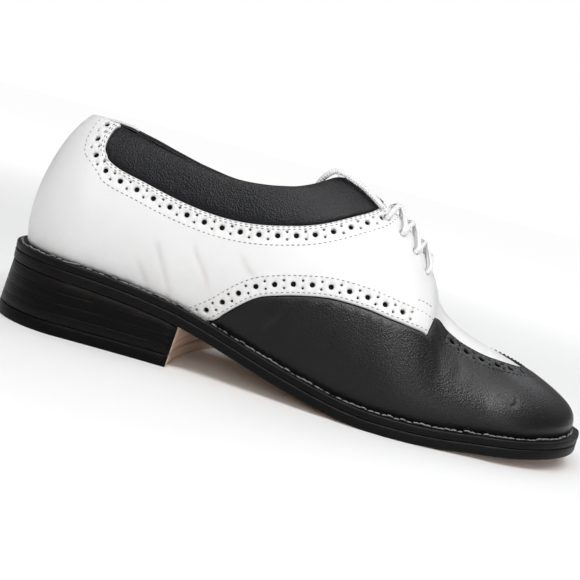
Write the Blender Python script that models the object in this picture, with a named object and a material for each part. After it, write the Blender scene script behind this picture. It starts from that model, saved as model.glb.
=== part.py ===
# Two-tone wing-tip derby shoe, right foot, empty and unlaced at the ends.
# Metres. +X runs heel to toe, -Y is the outer (lateral) side, +Z is up, the soles stand on Z = 0.
import math

import bmesh
import bpy
import numpy as np
from mathutils import Vector
from mathutils.geometry import delaunay_2d_cdt

# Driving sizes
GAP = 0.0003
LAYER_GAP = 0.0005
TONGUE_GAP = 0.0005
SOLE_LENGTH = 0.3015
BALL_HALF_WIDTH = 0.0470
CREST_HEIGHT = 0.1170
HEEL_SEAT_HEIGHT = 0.0278
TOE_SPRING = 0.0080
OUTSOLE_THICKNESS = 0.0050
WELT_THICKNESS = 0.0036
INSOLE_THICKNESS = 0.0026
TOP_LIFT_THICKNESS = 0.0060
UPPER_WALL = 0.0018
WING_THICKNESS = 0.0012
# Half width of the narrow face at a plate's ends, and the least room between two of its columns
END_BLUNT = 0.0012
COLUMN_ROOM = 0.0040
QUARTER_THICKNESS = 0.0016
COLLAR_THICKNESS = 0.0014
TONGUE_THICKNESS = 0.0022
LACE_DIAMETER = 0.0028
HEEL_FLARE = 0.0025
HEEL_INSET = 0.0004
BREAST_LEAN = 0.0022
BREAST_HOLLOW = 0.0040

# Shares of the sizes above
HEEL_AXIS = 0.1360
TOE_AXIS = 0.8090
TOE_RIDGE_SLOPE = -0.27
BREAST_LATERAL = 0.314
BREAST_MEDIAL = 0.362
# The forefoot's flat spot, and the round ends of the plates
FLAT_BACK = 0.630
FLAT_FRONT = 0.710
PLATE_TURN = 0.105
TONGUE_TOP = 5.24
TONGUE_FOOT = 6.92
TONGUE_EDGE = 0.80
EYELET_HEIGHT = 0.79
EYELETS = (6.01, 6.31, 6.60, 6.86)
LACE_END_START = 5.90
MEDIAL_TOPLINE_DROP = 0.022

# One row per section of the foot shape. Angle 180 is straight back, 90 across, 0 straight ahead.
# x is a share of SOLE_LENGTH, the widths are shares of BALL_HALF_WIDTH.
STATIONS = (
    # station, angle, x, shift, lateral, medial, margin, belly_lateral, belly_medial, belly_height, shoulder
    (0.0, 180.0, HEEL_AXIS, 0.000, 0.723, 0.723, 0.149, 0.055, 0.055, 0.30, 0.80),
    (0.8, 150.0, HEEL_AXIS, 0.000, 0.723, 0.723, 0.149, 0.075, 0.075, 0.30, 0.82),
    (1.6, 120.0, HEEL_AXIS, 0.000, 0.695, 0.690, 0.145, 0.105, 0.105, 0.30, 0.86),
    (2.4, 90.0, HEEL_AXIS, 0.000, 0.675, 0.660, 0.140, 0.110, 0.110, 0.30, 0.88),
    (3.2, 90.0, 0.2480, 0.000, 0.675, 0.610, 0.130, 0.110, 0.150, 0.30, 0.84),
    (4.0, 90.0, 0.3480, 0.000, 0.705, 0.560, 0.120, 0.090, 0.200, 0.32, 0.74),
    (5.0, 90.0, 0.4640, 0.010, 0.800, 0.590, 0.120, 0.085, 0.220, 0.35, 0.60),
    (6.0, 90.0, 0.5800, 0.032, 0.925, 0.765, 0.135, 0.075, 0.140, 0.35, 0.56),
    (7.0, 90.0, 0.6800, 0.054, 0.990, 0.930, 0.145, 0.065, 0.085, 0.35, 0.56),
    (8.0, 90.0, TOE_AXIS, 0.065, 0.870, 0.870, 0.150, 0.065, 0.065, 0.36, 0.62),
    (8.7, 62.0, TOE_AXIS, 0.065, 0.895, 0.895, 0.150, 0.065, 0.065, 0.36, 0.66),
    (9.4, 30.0, TOE_AXIS, 0.065, 0.980, 0.985, 0.150, 0.065, 0.065, 0.36, 0.69),
    (10.0, 0.0, TOE_AXIS, 0.065, 1.063, 1.063, 0.150, 0.065, 0.065, 0.36, 0.70),
)
# Top line of the foot shape: x as a share of SOLE_LENGTH, height as a share of CREST_HEIGHT.
CREST = (
    # x, height
    (0.136, 0.965), (0.248, 0.975), (0.348, 0.990), (0.430, 0.990), (0.500, 0.955), (0.540, 0.915),
    (0.580, 0.868), (0.620, 0.800), (0.655, 0.712), (0.680, 0.632), (0.700, 0.553), (0.718, 0.493),
    (0.745, 0.447), (0.775, 0.414), (0.809, 0.386),
)
# Underside of the outsole: shares of HEEL_SEAT_HEIGHT and of TOE_SPRING.
PROFILE = (
    # x, heel_share, toe_share
    (-0.02, 1.000, 0.00), (0.023, 1.000, 0.00), (0.136, 0.964, 0.00), (0.248, 0.856, 0.00),
    (0.305, 0.760, 0.00), (0.348, 0.650, 0.00), (0.406, 0.480, 0.00), (0.464, 0.310, 0.00),
    (0.530, 0.150, 0.00), (0.585, 0.045, 0.00), (FLAT_BACK, 0.000, 0.00), (FLAT_FRONT, 0.000, 0.00),
    (0.760, 0.000, 0.09), (0.808, 0.000, 0.27), (0.871, 0.000, 0.52), (0.940, 0.000, 0.80),
    (1.02, 0.000, 1.05),
)
# Edges of the panels on the foot shape: station and share of the way from the sole to the crest.
TOPLINE = (
    # station, height
    (0.0, 0.757), (1.1, 0.757), (1.75, 0.757), (2.37, 0.738), (2.70, 0.707), (2.93, 0.675),
    (3.15, 0.650), (3.42, 0.631), (3.69, 0.617), (3.96, 0.615), (4.22, 0.623), (4.49, 0.641),
    (4.75, 0.673), (5.00, 0.735), (5.22, 0.822), (5.42, 0.872), (5.70, 0.890), (6.10, 0.895),
    (6.50, 0.900), (6.85, 0.908), (7.00, 0.930), (7.10, 1.000),
)
COLLAR_EDGE = (
    # station, height
    (2.404, 0.736), (2.207, 0.703), (2.162, 0.650), (2.180, 0.600), (2.362, 0.556), (2.645, 0.512),
    (2.85, 0.494), (3.135, 0.468), (3.46, 0.449), (3.727, 0.441), (4.128, 0.449), (4.672, 0.489),
    (5.192, 0.566), (5.545, 0.667), (5.848, 0.800), (5.93, 0.892),
)
WING_EDGE = (
    # station, height
    (4.04, 0.000), (4.13, 0.024), (4.258, 0.084), (4.436, 0.153), (4.634, 0.208), (4.887, 0.249),
    (5.192, 0.290), (5.589, 0.339), (6.024, 0.374), (6.525, 0.409), (6.85, 0.450), (7.061, 0.495),
)
QUARTER_FRONT = (
    # station, height
    (7.061, 0.495), (7.103, 0.608), (7.125, 0.690), (7.125, 0.770), (7.110, 0.860), (7.000, 0.925),
)
WING_TOP = (
    # station, height
    (7.125, 0.655), (7.22, 0.706), (7.33, 0.722), (7.455, 0.724), (7.675, 0.737), (7.965, 0.760),
    (8.40, 0.775), (8.80, 0.786), (9.20, 0.793), (9.60, 0.797), (10.0, 0.798),
)
SLOT_START = 5.93
VAMP_POINT = 7.10
LACE_END_PATH = (
    # station, height, lift
    (LACE_END_START, 0.800, 1.0), (5.74, 0.822, 1.0), (5.56, 0.836, 1.0), (5.38, 0.836, 1.0),
    (5.24, 0.826, 1.2), (5.13, 0.826, 0.6), (5.04, 0.800, -0.6), (4.98, 0.745, -1.7),
    (4.93, 0.670, -2.2), (4.90, 0.590, -2.6), (4.88, 0.510, -2.9),
)

LATERAL = -1
MEDIAL = 1
TABLE = np.array(STATIONS, float)


def smooth(xs, ys, x):
    """Cubic curve through the table points xs, ys, read at x."""
    xs = np.asarray(xs, float)
    ys = np.asarray(ys, float)
    x = np.clip(np.asarray(x, float), xs[0], xs[-1])
    step = np.diff(xs)
    rise = np.diff(ys) / step
    slope = np.zeros_like(ys)
    slope[1:-1] = (rise[:-1] * step[1:] + rise[1:] * step[:-1]) / (step[1:] + step[:-1])
    slope[0] = rise[0]
    slope[-1] = rise[-1]
    k = np.clip(np.searchsorted(xs, x, side="right") - 1, 0, len(xs) - 2)
    t = (x - xs[k]) / step[k]
    return ((1 + 2 * t) * (1 - t) ** 2 * ys[k] + t * (1 - t) ** 2 * step[k] * slope[k]
            + t * t * (3 - 2 * t) * ys[k + 1] + t * t * (t - 1) * step[k] * slope[k + 1])


def column(index, s):
    """One column of STATIONS read at station s."""
    return smooth(TABLE[:, 0], TABLE[:, index], s)


def sole_bottom(x):
    """Height of the outsole's underside at x."""
    rows = np.array(PROFILE)
    share = np.asarray(x, float) / SOLE_LENGTH
    heel = smooth(rows[:, 0], rows[:, 1], share) * HEEL_SEAT_HEIGHT
    toe = smooth(rows[:, 0], rows[:, 2], share) * TOE_SPRING
    return np.maximum(heel + toe, 0.0)


def welt_bottom(x):
    """Height of the welt's underside at x."""
    return sole_bottom(x) + OUTSOLE_THICKNESS + GAP


def seat(x):
    """Height the upper stands at, one gap above the welt."""
    return welt_bottom(x) + WELT_THICKNESS + GAP


def plane(side, s):
    """Angle, axis x, axis y and half width of the foot shape's section at station s."""
    s = np.asarray(s, float)
    angle = np.where((s >= 2.4) & (s <= 8.0), 90.0, column(1, s))
    angle = np.radians(np.clip(angle, 0.0, 180.0))
    x = np.where(s <= 2.4, HEEL_AXIS, np.where(s >= 8.0, TOE_AXIS, column(2, s))) * SOLE_LENGTH
    y = column(3, s) * BALL_HALF_WIDTH
    width = column(4 if side < 0 else 5, s) * BALL_HALF_WIDTH
    return angle, x, y, width


def surface(side, s, t):
    """Point of the foot shape: t = 0 at the sole, 1 at the crest."""
    s = np.asarray(s, float)
    t = np.asarray(t, float)
    angle, x, y, width = plane(side, s)
    belly = column(7 if side < 0 else 8, s) * BALL_HALF_WIDTH
    share = column(9, s)
    shoulder = column(10, s)
    low = seat(x + width * np.cos(angle))
    rows = np.array(CREST)
    top = smooth(rows[:, 0], rows[:, 1], x / SOLE_LENGTH) * CREST_HEIGHT
    radii = (width, width + 2.0 * belly, width * shoulder, 0.0 * width)
    lean = np.where(s > 8.0, TOE_RIDGE_SLOPE * radii[2] * np.cos(angle), 0.0)
    heights = (low, low + share * (top - low), top + lean, top)
    mix = ((1 - t) ** 3, 3 * t * (1 - t) ** 2, 3 * t * t * (1 - t), t ** 3)
    r = sum(m * v for m, v in zip(mix, radii))
    z = sum(m * v for m, v in zip(mix, heights))
    return np.stack([x + r * np.cos(angle), y + side * r * np.sin(angle), z], -1)


def normal(side, s, t):
    """Outward unit normal of the foot shape."""
    small = 1e-4
    s = np.asarray(s, float)
    t = np.minimum(np.asarray(t, float), 0.995)
    along = surface(side, np.minimum(s + small, 10.0), t) - surface(side, np.maximum(s - small, 0.0), t)
    up = surface(side, s, t + small) - surface(side, s, t - small)
    n = np.cross(along, up) * (-side)
    return n / np.maximum(np.linalg.norm(n, axis=-1, keepdims=True), 1e-12)


def shell(side, s, t, d):
    """Point at distance d outside the foot shape, never below the seat."""
    p = surface(side, s, t) + normal(side, s, t) * np.asarray(d, float)[..., None]
    p[..., 2] = np.maximum(p[..., 2], seat(p[..., 0]))
    return p


def topline(side, s):
    """Height share of the upper's top edge at station s."""
    rows = np.array(TOPLINE)
    s = np.asarray(s, float)
    t = np.where(s >= VAMP_POINT, 1.0, np.minimum(smooth(rows[:, 0], rows[:, 1], s), 1.0))
    if side > 0:
        dip = np.exp(-((s - 3.8) / 1.1) ** 2)
        t = t - MEDIAL_TOPLINE_DROP * np.where(s < 5.4, dip, 0.0)
    return t


# Outlines of the flat pieces
FAN = np.linspace(0.0, 10.0, 401)


def half_outline(side, extra):
    """Half outline (x, y) of the foot print, grown by extra metres."""
    angle, x, y, width = plane(side, FAN)
    r = width + extra
    return x + r * np.cos(angle), y + side * r * np.sin(angle)


def sole_half(side):
    """Half outline of the welt and outsole."""
    return half_outline(side, column(6, FAN) * BALL_HALF_WIDTH)


def read_half(half, x):
    """Y of a half outline at x."""
    return np.interp(x, half[0], half[1])


SOLE_HALVES = (sole_half(LATERAL), sole_half(MEDIAL))
SOLE_TIP = float(SOLE_HALVES[0][0][-1])
SOLE_BACK = float(SOLE_HALVES[0][0][0])
MIDDLE = np.array([
    (SOLE_TIP + SOLE_BACK - HEEL_FLARE) / 2.0,
    (float(SOLE_HALVES[0][1].min()) + float(SOLE_HALVES[1][1].max())) / 2.0,
    0.0,
])

# Colours and finishes
MATERIALS = {
    # name: colour, roughness
    "white_leather": ((0.82, 0.81, 0.80, 1.0), 0.42),
    "black_leather": ((0.016, 0.017, 0.020, 1.0), 0.38),
    "black_grain_leather": ((0.022, 0.024, 0.030, 1.0), 0.50),
    "sole_leather": ((0.014, 0.013, 0.013, 1.0), 0.55),
    "heel_leather": ((0.018, 0.015, 0.014, 1.0), 0.50),
    "tan_leather": ((0.42, 0.27, 0.17, 1.0), 0.60),
    "white_lace": ((0.80, 0.80, 0.79, 1.0), 0.70),
}


def material(name):
    """The named material, made once."""
    found = bpy.data.materials.get(name)
    if found:
        return found
    colour, roughness = MATERIALS[name]
    made = bpy.data.materials.new(name)
    made.use_nodes = True
    shader = made.node_tree.nodes["Principled BSDF"]
    shader.inputs["Base Color"].default_value = colour
    shader.inputs["Roughness"].default_value = roughness
    made.diffuse_color = colour
    return made


def add_object(name, points, faces, finish, round_shading=True):
    """One closed mesh object, moved so the shoe's middle is the origin."""
    mesh = bpy.data.meshes.new(name)
    mesh.from_pydata([tuple(np.asarray(p, float) - MIDDLE) for p in points], [], faces)
    work = bmesh.new()
    work.from_mesh(mesh)
    bmesh.ops.recalc_face_normals(work, faces=work.faces)
    work.to_mesh(mesh)
    work.free()
    mesh.materials.append(material(finish))
    if round_shading:
        mesh.shade_smooth()
    made = bpy.data.objects.new(name, mesh)
    bpy.context.scene.collection.objects.link(made)
    return made


def close_sheet(faces, count):
    """Faces of a sheet, its copy count vertices later, and the strip that joins their borders."""
    uses = {}
    for face in faces:
        for a, b in zip(face, face[1:] + face[:1]):
            uses.setdefault(frozenset((a, b)), []).append((a, b))
    closed = [tuple(face) for face in faces]
    closed += [tuple(v + count for v in reversed(face)) for face in faces]
    for found in uses.values():
        if len(found) == 1:
            a, b = found[0]
            closed.append((b, a, a + count, b + count))
    return closed


def add_shell(name, params, faces, outer, inner, finish):
    """A sheet on the foot shape, given thickness between the distances outer and inner."""
    points = []
    for distance in (outer, inner):
        for side, s, t in params:
            points.append(shell(side, np.array([s]), np.array([t]), np.array([distance]))[0])
    return add_object(name, points, close_sheet(faces, len(params)), finish)


# The hollow upper
UPPER_STATIONS = np.concatenate([
    np.linspace(0.0, 2.4, 8), np.linspace(2.4, 4.8, 12)[1:], np.linspace(4.8, 6.8, 11)[1:],
    [6.92, 7.02, 7.1, 7.2, 7.32, 7.5, 7.75, 8.0], np.linspace(8.0, 10.0, 9)[1:],
])
UPPER_ROWS = (0.0, 0.13, 0.27, 0.41, 0.54, 0.66, 0.77, 0.87, 0.94, 1.0)


def build_upper():
    """Hollow upper: open at the collar, between the facings and underneath."""
    params = []
    index = {}
    last = len(UPPER_ROWS) - 1

    def vertex(side, s, row):
        t = float(topline(side, s)) * UPPER_ROWS[row]
        key = (side, round(s, 4), row)
        if s in (0.0, 10.0):
            key = (0, s, row)
        if row == last and s >= VAMP_POINT:
            key = ("crest", round(min(s, 8.0), 4))
        if key not in index:
            index[key] = len(params)
            params.append((side, s, t))
        return index[key]

    faces = []
    for side in (LATERAL, MEDIAL):
        for a, b in zip(UPPER_STATIONS[:-1], UPPER_STATIONS[1:]):
            for row in range(last):
                face = [vertex(side, float(a), row), vertex(side, float(b), row),
                        vertex(side, float(b), row + 1), vertex(side, float(a), row + 1)]
                face = [v for i, v in enumerate(face) if v != face[i - 1]]
                faces.append(face if side < 0 else face[::-1])
    return add_shell("upper", params, faces, 0.0, -UPPER_WALL, "white_leather")


# Panels that lie on the upper
FLAT_U = 0.038
FLAT_V = 0.090
PANEL_STEP_U = 0.0088
PANEL_STEP_V = 0.0066
# Free room between a seed point and its panel's border, as a share of the step
SEED_ROOM = 0.45
# Stations or height shares left free where two border lines meet
LINE_STEP = 0.02
WING_FOOT_STEP = 0.12
FAST_STATIONS = ((6.55, 7.2), (9.1, 10.9), (12.8, 13.45))
FAST_SHARE = 0.6


def dense(rows, count):
    """A table of (station, height) points as count smooth points along its length."""
    rows = np.array(rows, float)
    step = np.hypot(np.diff(rows[:, 0]) * FLAT_U, np.diff(rows[:, 1]) * FLAT_V)
    along = np.concatenate([[0.0], np.cumsum(step)])
    at = np.linspace(0.0, along[-1], count)
    return np.stack([smooth(along, rows[:, 0], at), smooth(along, rows[:, 1], at)], -1)


def top_edge(side, a, b, count):
    """The upper's top edge from station a to b."""
    s = np.linspace(a, b, count)
    return np.stack([s, topline(side, s)], -1)


def bottom_edge(a, b, count):
    """The upper's bottom edge from station a to b."""
    s = np.linspace(a, b, count)
    return np.stack([s, np.zeros(count)], -1)


def step_in(side, line, distance):
    """A line of (station, height) points moved sideways on the foot shape, to its left when positive."""
    small = 1e-3
    moved = []
    for i, (s, t) in enumerate(line):
        before = line[max(i - 1, 0)]
        after = line[min(i + 1, len(line) - 1)]
        s_low, s_high = max(s - small, 0.0), min(s + small, 10.0)
        ds = (surface(side, s_high, t) - surface(side, s_low, t)) / (s_high - s_low)
        dt = (surface(side, s, t + small) - surface(side, s, t - small)) / (2 * small)
        basis = np.stack([ds, dt], -1)
        tangent = basis @ (np.asarray(after) - np.asarray(before))
        tangent /= np.linalg.norm(tangent)
        across = np.cross(normal(side, s, t), tangent) * (-side)
        shift = np.linalg.lstsq(basis, across * distance, rcond=None)[0]
        moved.append((s + shift[0], t + shift[1]))
    return np.array(moved)


def inside(point, polygon):
    """True when a flat point lies in the polygon."""
    x, y = point
    found = False
    for (x0, y0), (x1, y1) in zip(polygon, np.roll(polygon, -1, axis=0)):
        if (y0 > y) != (y1 > y) and x < (x1 - x0) * (y - y0) / (y1 - y0) + x0:
            found = not found
    return found


def clearance(point, polygon):
    """Distance from a flat point to the polygon's border."""
    a = polygon
    b = np.roll(polygon, -1, axis=0)
    edge = b - a
    share = np.clip(((point - a) * edge).sum(1) / np.maximum((edge * edge).sum(1), 1e-18), 0.0, 1.0)
    return float(np.linalg.norm(a + edge * share[:, None] - point, axis=1).min())


def seed_columns(low, high):
    """Flat positions of the seed columns, closer together where the foot shape turns fast."""
    columns = [low + PANEL_STEP_U / 2.0]
    while columns[-1] < high:
        station = columns[-1] / FLAT_U
        fast = any(a < station < b for a, b in FAST_STATIONS)
        columns.append(columns[-1] + PANEL_STEP_U * (FAST_SHARE if fast else 1.0))
    return columns


def add_panel(name, outline, side_of, inner, thickness, finish):
    """A panel of even thickness inside an outline of (station, height) points."""
    flat = np.array([(s * FLAT_U, t * FLAT_V) for s, t in outline])
    seeds = list(flat)
    for i, u in enumerate(seed_columns(flat[:, 0].min(), flat[:, 0].max())):
        start = flat[:, 1].min() + PANEL_STEP_V * (0.5 if i % 2 else 1.0)
        for v in np.arange(start, flat[:, 1].max(), PANEL_STEP_V):
            point = np.array([u, v])
            if inside(point, flat) and clearance(point, flat) > PANEL_STEP_V * SEED_ROOM:
                seeds.append(point)
    found = delaunay_2d_cdt([Vector(p) for p in seeds], [], [list(range(len(flat)))], 1, 1e-7)
    params = [side_of(v.x / FLAT_U, v.y / FLAT_V) for v in found[0]]
    faces = [list(face) for face in found[2]]
    return add_shell(name, params, faces, inner + thickness, inner, finish)


HALF_GAP = GAP * 0.75
BACK_SEAM = 0.018


def quarter_outline(side):
    """Border of a quarter, counter-clockwise in station and height."""
    top = float(topline(side, COLLAR_EDGE[0][0]))
    back = [(BACK_SEAM, t) for t in np.linspace(0.757, 0.0, 12)]
    collar = dense(COLLAR_EDGE, 44)
    collar[0, 1] = top
    collar[-1, 1] = float(topline(side, collar[-1, 0]))
    return np.concatenate([
        bottom_edge(BACK_SEAM, 4.02, 22)[:-1],
        step_in(side, dense(WING_EDGE, 26)[1:-1], HALF_GAP),
        step_in(side, dense(QUARTER_FRONT, 9), HALF_GAP),
        top_edge(side, 6.93, SLOT_START + LINE_STEP, 14),
        step_in(side, collar[::-1][1:-1], HALF_GAP),
        top_edge(side, COLLAR_EDGE[0][0] - LINE_STEP, BACK_SEAM, 9)[:-1],
        back[:-1],
    ])


def collar_outline(side):
    """Border of a collar panel, counter-clockwise in station and height."""
    collar = dense(COLLAR_EDGE, 44)
    return np.concatenate([
        step_in(side, collar[1:-1], HALF_GAP),
        top_edge(side, SLOT_START - LINE_STEP, COLLAR_EDGE[0][0] + LINE_STEP, 26),
    ])


def wing_outline():
    """Border of the wing tip from the lateral end round the toe to the medial end."""
    low = dense(WING_EDGE, 26)[1:]
    front = [p for p in dense(QUARTER_FRONT, 9)[1:] if p[1] < WING_TOP[0][1] - LINE_STEP]
    top = dense(WING_TOP, 26)
    foot = bottom_edge(low[0][0] + WING_FOOT_STEP, 10.0, 40)
    halves = {}
    for side in (LATERAL, MEDIAL):
        edge = np.concatenate([low, np.array(front).reshape(-1, 2)])
        halves[side] = np.concatenate([step_in(side, edge, -HALF_GAP), top])
    mirrored = [(20.0 - s, t) for s, t in halves[MEDIAL]]
    far_foot = [(20.0 - s, t) for s, t in foot[::-1]]
    return np.concatenate([foot, far_foot[1:], mirrored, halves[LATERAL][::-1][1:]])


def round_toe(q, t):
    """Side, station and height for a wing coordinate that runs past the toe to the medial side."""
    return (LATERAL, min(q, 10.0), t) if q <= 10.0 else (MEDIAL, 20.0 - q, t)


def build_panels():
    """Wing tip, quarters and collar panels."""
    add_panel("wing_tip", wing_outline(), round_toe, LAYER_GAP, WING_THICKNESS, "black_leather")
    for side, word in ((LATERAL, "lateral"), (MEDIAL, "medial")):
        place = (lambda s, t, side=side: (side, s, t))
        add_panel("quarter_" + word, quarter_outline(side), place, LAYER_GAP, QUARTER_THICKNESS,
                  "white_leather")
        add_panel("collar_" + word, collar_outline(side), place, LAYER_GAP, COLLAR_THICKNESS,
                  "black_grain_leather")


def build_tongue():
    """Tongue under the facings, one gap inside the upper's wall."""
    rows = 5
    stations = np.linspace(TONGUE_TOP, TONGUE_FOOT, 12)
    params = []
    for s in stations:
        for k in range(2 * rows + 1):
            share = abs(k - rows) / rows
            t = 1.0 - (1.0 - TONGUE_EDGE) * share
            params.append((LATERAL if k <= rows else MEDIAL, float(s), t))
    width = 2 * rows + 1
    faces = []
    for i in range(len(stations) - 1):
        for k in range(width - 1):
            a = i * width + k
            faces.append([a, a + 1, a + width + 1, a + width])
    top = -(UPPER_WALL + TONGUE_GAP)
    add_shell("tongue", params, faces, top, top - TONGUE_THICKNESS, "white_leather")


# Flat pieces
def plate_columns(back, tip):
    """X of the columns of a plate, close together at its round ends."""
    turn = np.linspace(0.0, math.pi / 2.0, 8)
    radius = PLATE_TURN * SOLE_LENGTH
    heel = back + radius * (1.0 - np.cos(turn))
    toe = tip - radius * (1.0 - np.cos(turn))
    flat = [FLAT_BACK * SOLE_LENGTH, FLAT_FRONT * SOLE_LENGTH]
    middle = [x for x in np.linspace(heel[-1], toe[-1], 20)[1:-1]
              if min(abs(x - flat[0]), abs(x - flat[1])) > COLUMN_ROOM]
    return np.array(sorted([*heel, *toe, *middle, *flat]))


def add_plate(name, halves, low, high, finish):
    """A plate between two heights that change along x only."""
    back = max(float(halves[0][0][0]), float(halves[1][0][0]))
    tip = min(float(halves[0][0][-1]), float(halves[1][0][-1]))
    columns = plate_columns(back, tip)
    points = []
    for x in columns:
        y_low, y_high = read_half(halves[0], x), read_half(halves[1], x)
        for y, z in ((y_low, low(x)), (y_high, low(x)), (y_high, high(x)), (y_low, high(x))):
            points.append((x, y, float(z)))
    faces = []
    last = len(columns) - 1
    for i in range(last):
        for k in range(4):
            a, b = 4 * i + k, 4 * i + (k + 1) % 4
            faces.append((a, b, b + 4, a + 4))
    faces.append((0, 3, 2, 1))
    faces.append((4 * last, 4 * last + 1, 4 * last + 2, 4 * last + 3))
    # The two ends are rounded off by a narrow face, never a single sharp line
    for corner in (0, 1, 2, 3):
        x, y, z = points[corner]
        points[corner] = (x, y + (-END_BLUNT if corner in (0, 3) else END_BLUNT), z)
        x, y, z = points[4 * last + corner]
        points[4 * last + corner] = (x, y + (-END_BLUNT if corner in (0, 3) else END_BLUNT), z)
    return add_object(name, points, faces, finish, round_shading=False)


def build_plates():
    """Outsole, welt and insole."""
    add_plate("outsole", SOLE_HALVES, sole_bottom, lambda x: sole_bottom(x) + OUTSOLE_THICKNESS,
              "sole_leather")
    add_plate("welt", SOLE_HALVES, welt_bottom, lambda x: welt_bottom(x) + WELT_THICKNESS,
              "sole_leather")
    inset = -(UPPER_WALL + 2.5 * GAP)
    inner = (half_outline(LATERAL, inset), half_outline(MEDIAL, inset))
    add_plate("insole", inner, seat, lambda x: seat(x) + INSOLE_THICKNESS, "tan_leather")


def heel_point(share, across, drop):
    """Plan point of the heel: share from back to breast, across 0 lateral to 1 medial, drop 0 at the top."""
    breast = (BREAST_LATERAL + (BREAST_MEDIAL - BREAST_LATERAL) * across) * SOLE_LENGTH
    breast -= BREAST_HOLLOW * 4.0 * across * (1.0 - across)
    x = SOLE_BACK + HEEL_INSET + (breast - SOLE_BACK - HEEL_INSET) * share
    lateral = read_half(SOLE_HALVES[0], x) + HEEL_INSET
    medial = read_half(SOLE_HALVES[1], x) - HEEL_INSET
    blunt = END_BLUNT if share == 0.0 else 0.0
    y = (lateral - blunt) + (medial - lateral + 2 * blunt) * across
    x -= drop * (HEEL_FLARE * (1.0 - share) + BREAST_LEAN * share + HEEL_INSET * (1.0 - share))
    return x, y


def add_heel_piece(name, low, high, finish):
    """A piece of the heel between two heights given by functions of x."""
    shares = [1.0 - math.cos(a) for a in np.linspace(0.0, 1.1, 8)]
    shares += list(np.linspace(shares[-1], 1.0, 7)[1:])
    rows = 5
    full = float(sole_bottom(SOLE_BACK))
    params = [(share, k / rows) for share in shares for k in range(rows + 1)]
    points = []
    for height in (high, low):
        for share, across in params:
            x0, _ = heel_point(share, across, 0.0)
            z = float(height(x0))
            x, y = heel_point(share, across, 1.0 - z / full)
            points.append((x, y, z))
    faces = []
    for i in range(len(shares) - 1):
        for k in range(rows):
            a = i * (rows + 1) + k
            faces.append([a, a + 1, a + rows + 2, a + rows + 1])
    return add_object(name, points, close_sheet(faces, len(params)), finish, round_shading=False)


def build_heel():
    """Heel stack under the outsole and the top lift it stands on."""
    add_heel_piece("heel_stack", lambda x: TOP_LIFT_THICKNESS + GAP, lambda x: sole_bottom(x) - GAP,
                   "heel_leather")
    add_heel_piece("top_lift", lambda x: 0.0, lambda x: TOP_LIFT_THICKNESS, "sole_leather")


# Laces
LACE_LIFT = LAYER_GAP + QUARTER_THICKNESS + GAP + LACE_DIAMETER / 2.0


def tube(points, radius, sides=6):
    """Vertices and faces of a round tube with flat ends along a line of points."""
    points = [np.asarray(p, float) for p in points]
    verts = []
    guide = np.array([0.0, 0.0, 1.0])
    for i, p in enumerate(points):
        way = points[min(i + 1, len(points) - 1)] - points[max(i - 1, 0)]
        way /= np.linalg.norm(way)
        first = guide - way * guide.dot(way)
        first /= np.linalg.norm(first)
        second = np.cross(way, first)
        for k in range(sides):
            turn = 2.0 * math.pi * k / sides
            verts.append(p + radius * (math.cos(turn) * first + math.sin(turn) * second))
    faces = []
    for i in range(len(points) - 1):
        for k in range(sides):
            a, b = i * sides + k, i * sides + (k + 1) % sides
            faces.append((a, b, b + sides, a + sides))
    faces.append(tuple(reversed(range(sides))))
    faces.append(tuple(range((len(points) - 1) * sides, len(points) * sides)))
    return verts, faces


def crossing(row_from, row_to):
    """Line of a lace from the lateral eyelet of one row to the medial eyelet of another."""
    line = []
    count = 7
    for i in range(count):
        share = i / (count - 1)
        s = EYELETS[row_from] + (EYELETS[row_to] - EYELETS[row_from]) * share
        away = abs(2.0 * share - 1.0)
        t = 1.0 - (1.0 - EYELET_HEIGHT) * away
        side = LATERAL if share <= 0.5 else MEDIAL
        line.append(shell(side, np.array([s]), np.array([t]), np.array([LACE_LIFT]))[0])
    return line


def build_laces():
    """Lace crossings as one solid, and the lateral end as a cord."""
    pairs = [(3, 3), (3, 2), (2, 3), (2, 1), (1, 2), (1, 0), (0, 1)]
    pieces = []
    for number, (a, b) in enumerate(pairs):
        verts, faces = tube(crossing(a, b), LACE_DIAMETER / 2.0)
        pieces.append(add_object("lace_piece_%d" % number, verts, faces, "white_lace"))
    base = pieces[0]
    base.name = "lace_crossings"
    for piece in pieces[1:]:
        join = base.modifiers.new("join", "BOOLEAN")
        join.operation = "UNION"
        join.solver = "EXACT"
        join.object = piece
        bpy.context.view_layer.update()
        graph = bpy.context.evaluated_depsgraph_get()
        joined = bpy.data.meshes.new_from_object(base.evaluated_get(graph))
        base.modifiers.clear()
        base.data = joined
        bpy.data.objects.remove(piece, do_unlink=True)
    path = []
    for s, t, lift in LACE_END_PATH:
        path.append(shell(LATERAL, np.array([s]), np.array([t]), np.array([lift * LACE_LIFT]))[0])
    curve = bpy.data.curves.new("lace_end", "CURVE")
    curve.dimensions = "3D"
    curve.bevel_depth = LACE_DIAMETER / 2.0
    curve.bevel_resolution = 2
    curve.use_fill_caps = True
    spline = curve.splines.new("POLY")
    spline.points.add(len(path) - 1)
    for knot, p in zip(spline.points, path):
        knot.co = (*(p - MIDDLE), 1.0)
    curve.materials.append(material("white_lace"))
    cord = bpy.data.objects.new("lace_end", curve)
    bpy.context.scene.collection.objects.link(cord)


def main():
    """Clear the scene and build every piece."""
    for old in list(bpy.data.objects):
        bpy.data.objects.remove(old, do_unlink=True)
    build_heel()
    build_plates()
    build_upper()
    build_panels()
    build_tongue()
    build_laces()


main()
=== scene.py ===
"""Two-tone wing-tip derby shoe, right foot: the visual model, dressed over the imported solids.

Metres. +X runs heel to toe, -Y is the outer (lateral) side, +Z is up and the sole stands on Z = 0.
A place on the upper is (q, t): q is the station round the shoe, 0 at the back seam, 10 at the toe and
20 at the back seam again, outer side first, and t is the share of the way from the sole to the crest.
"""
import logging
import math
from dataclasses import dataclass, field
from enum import Enum
from typing import Any, Callable, Sequence

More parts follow.
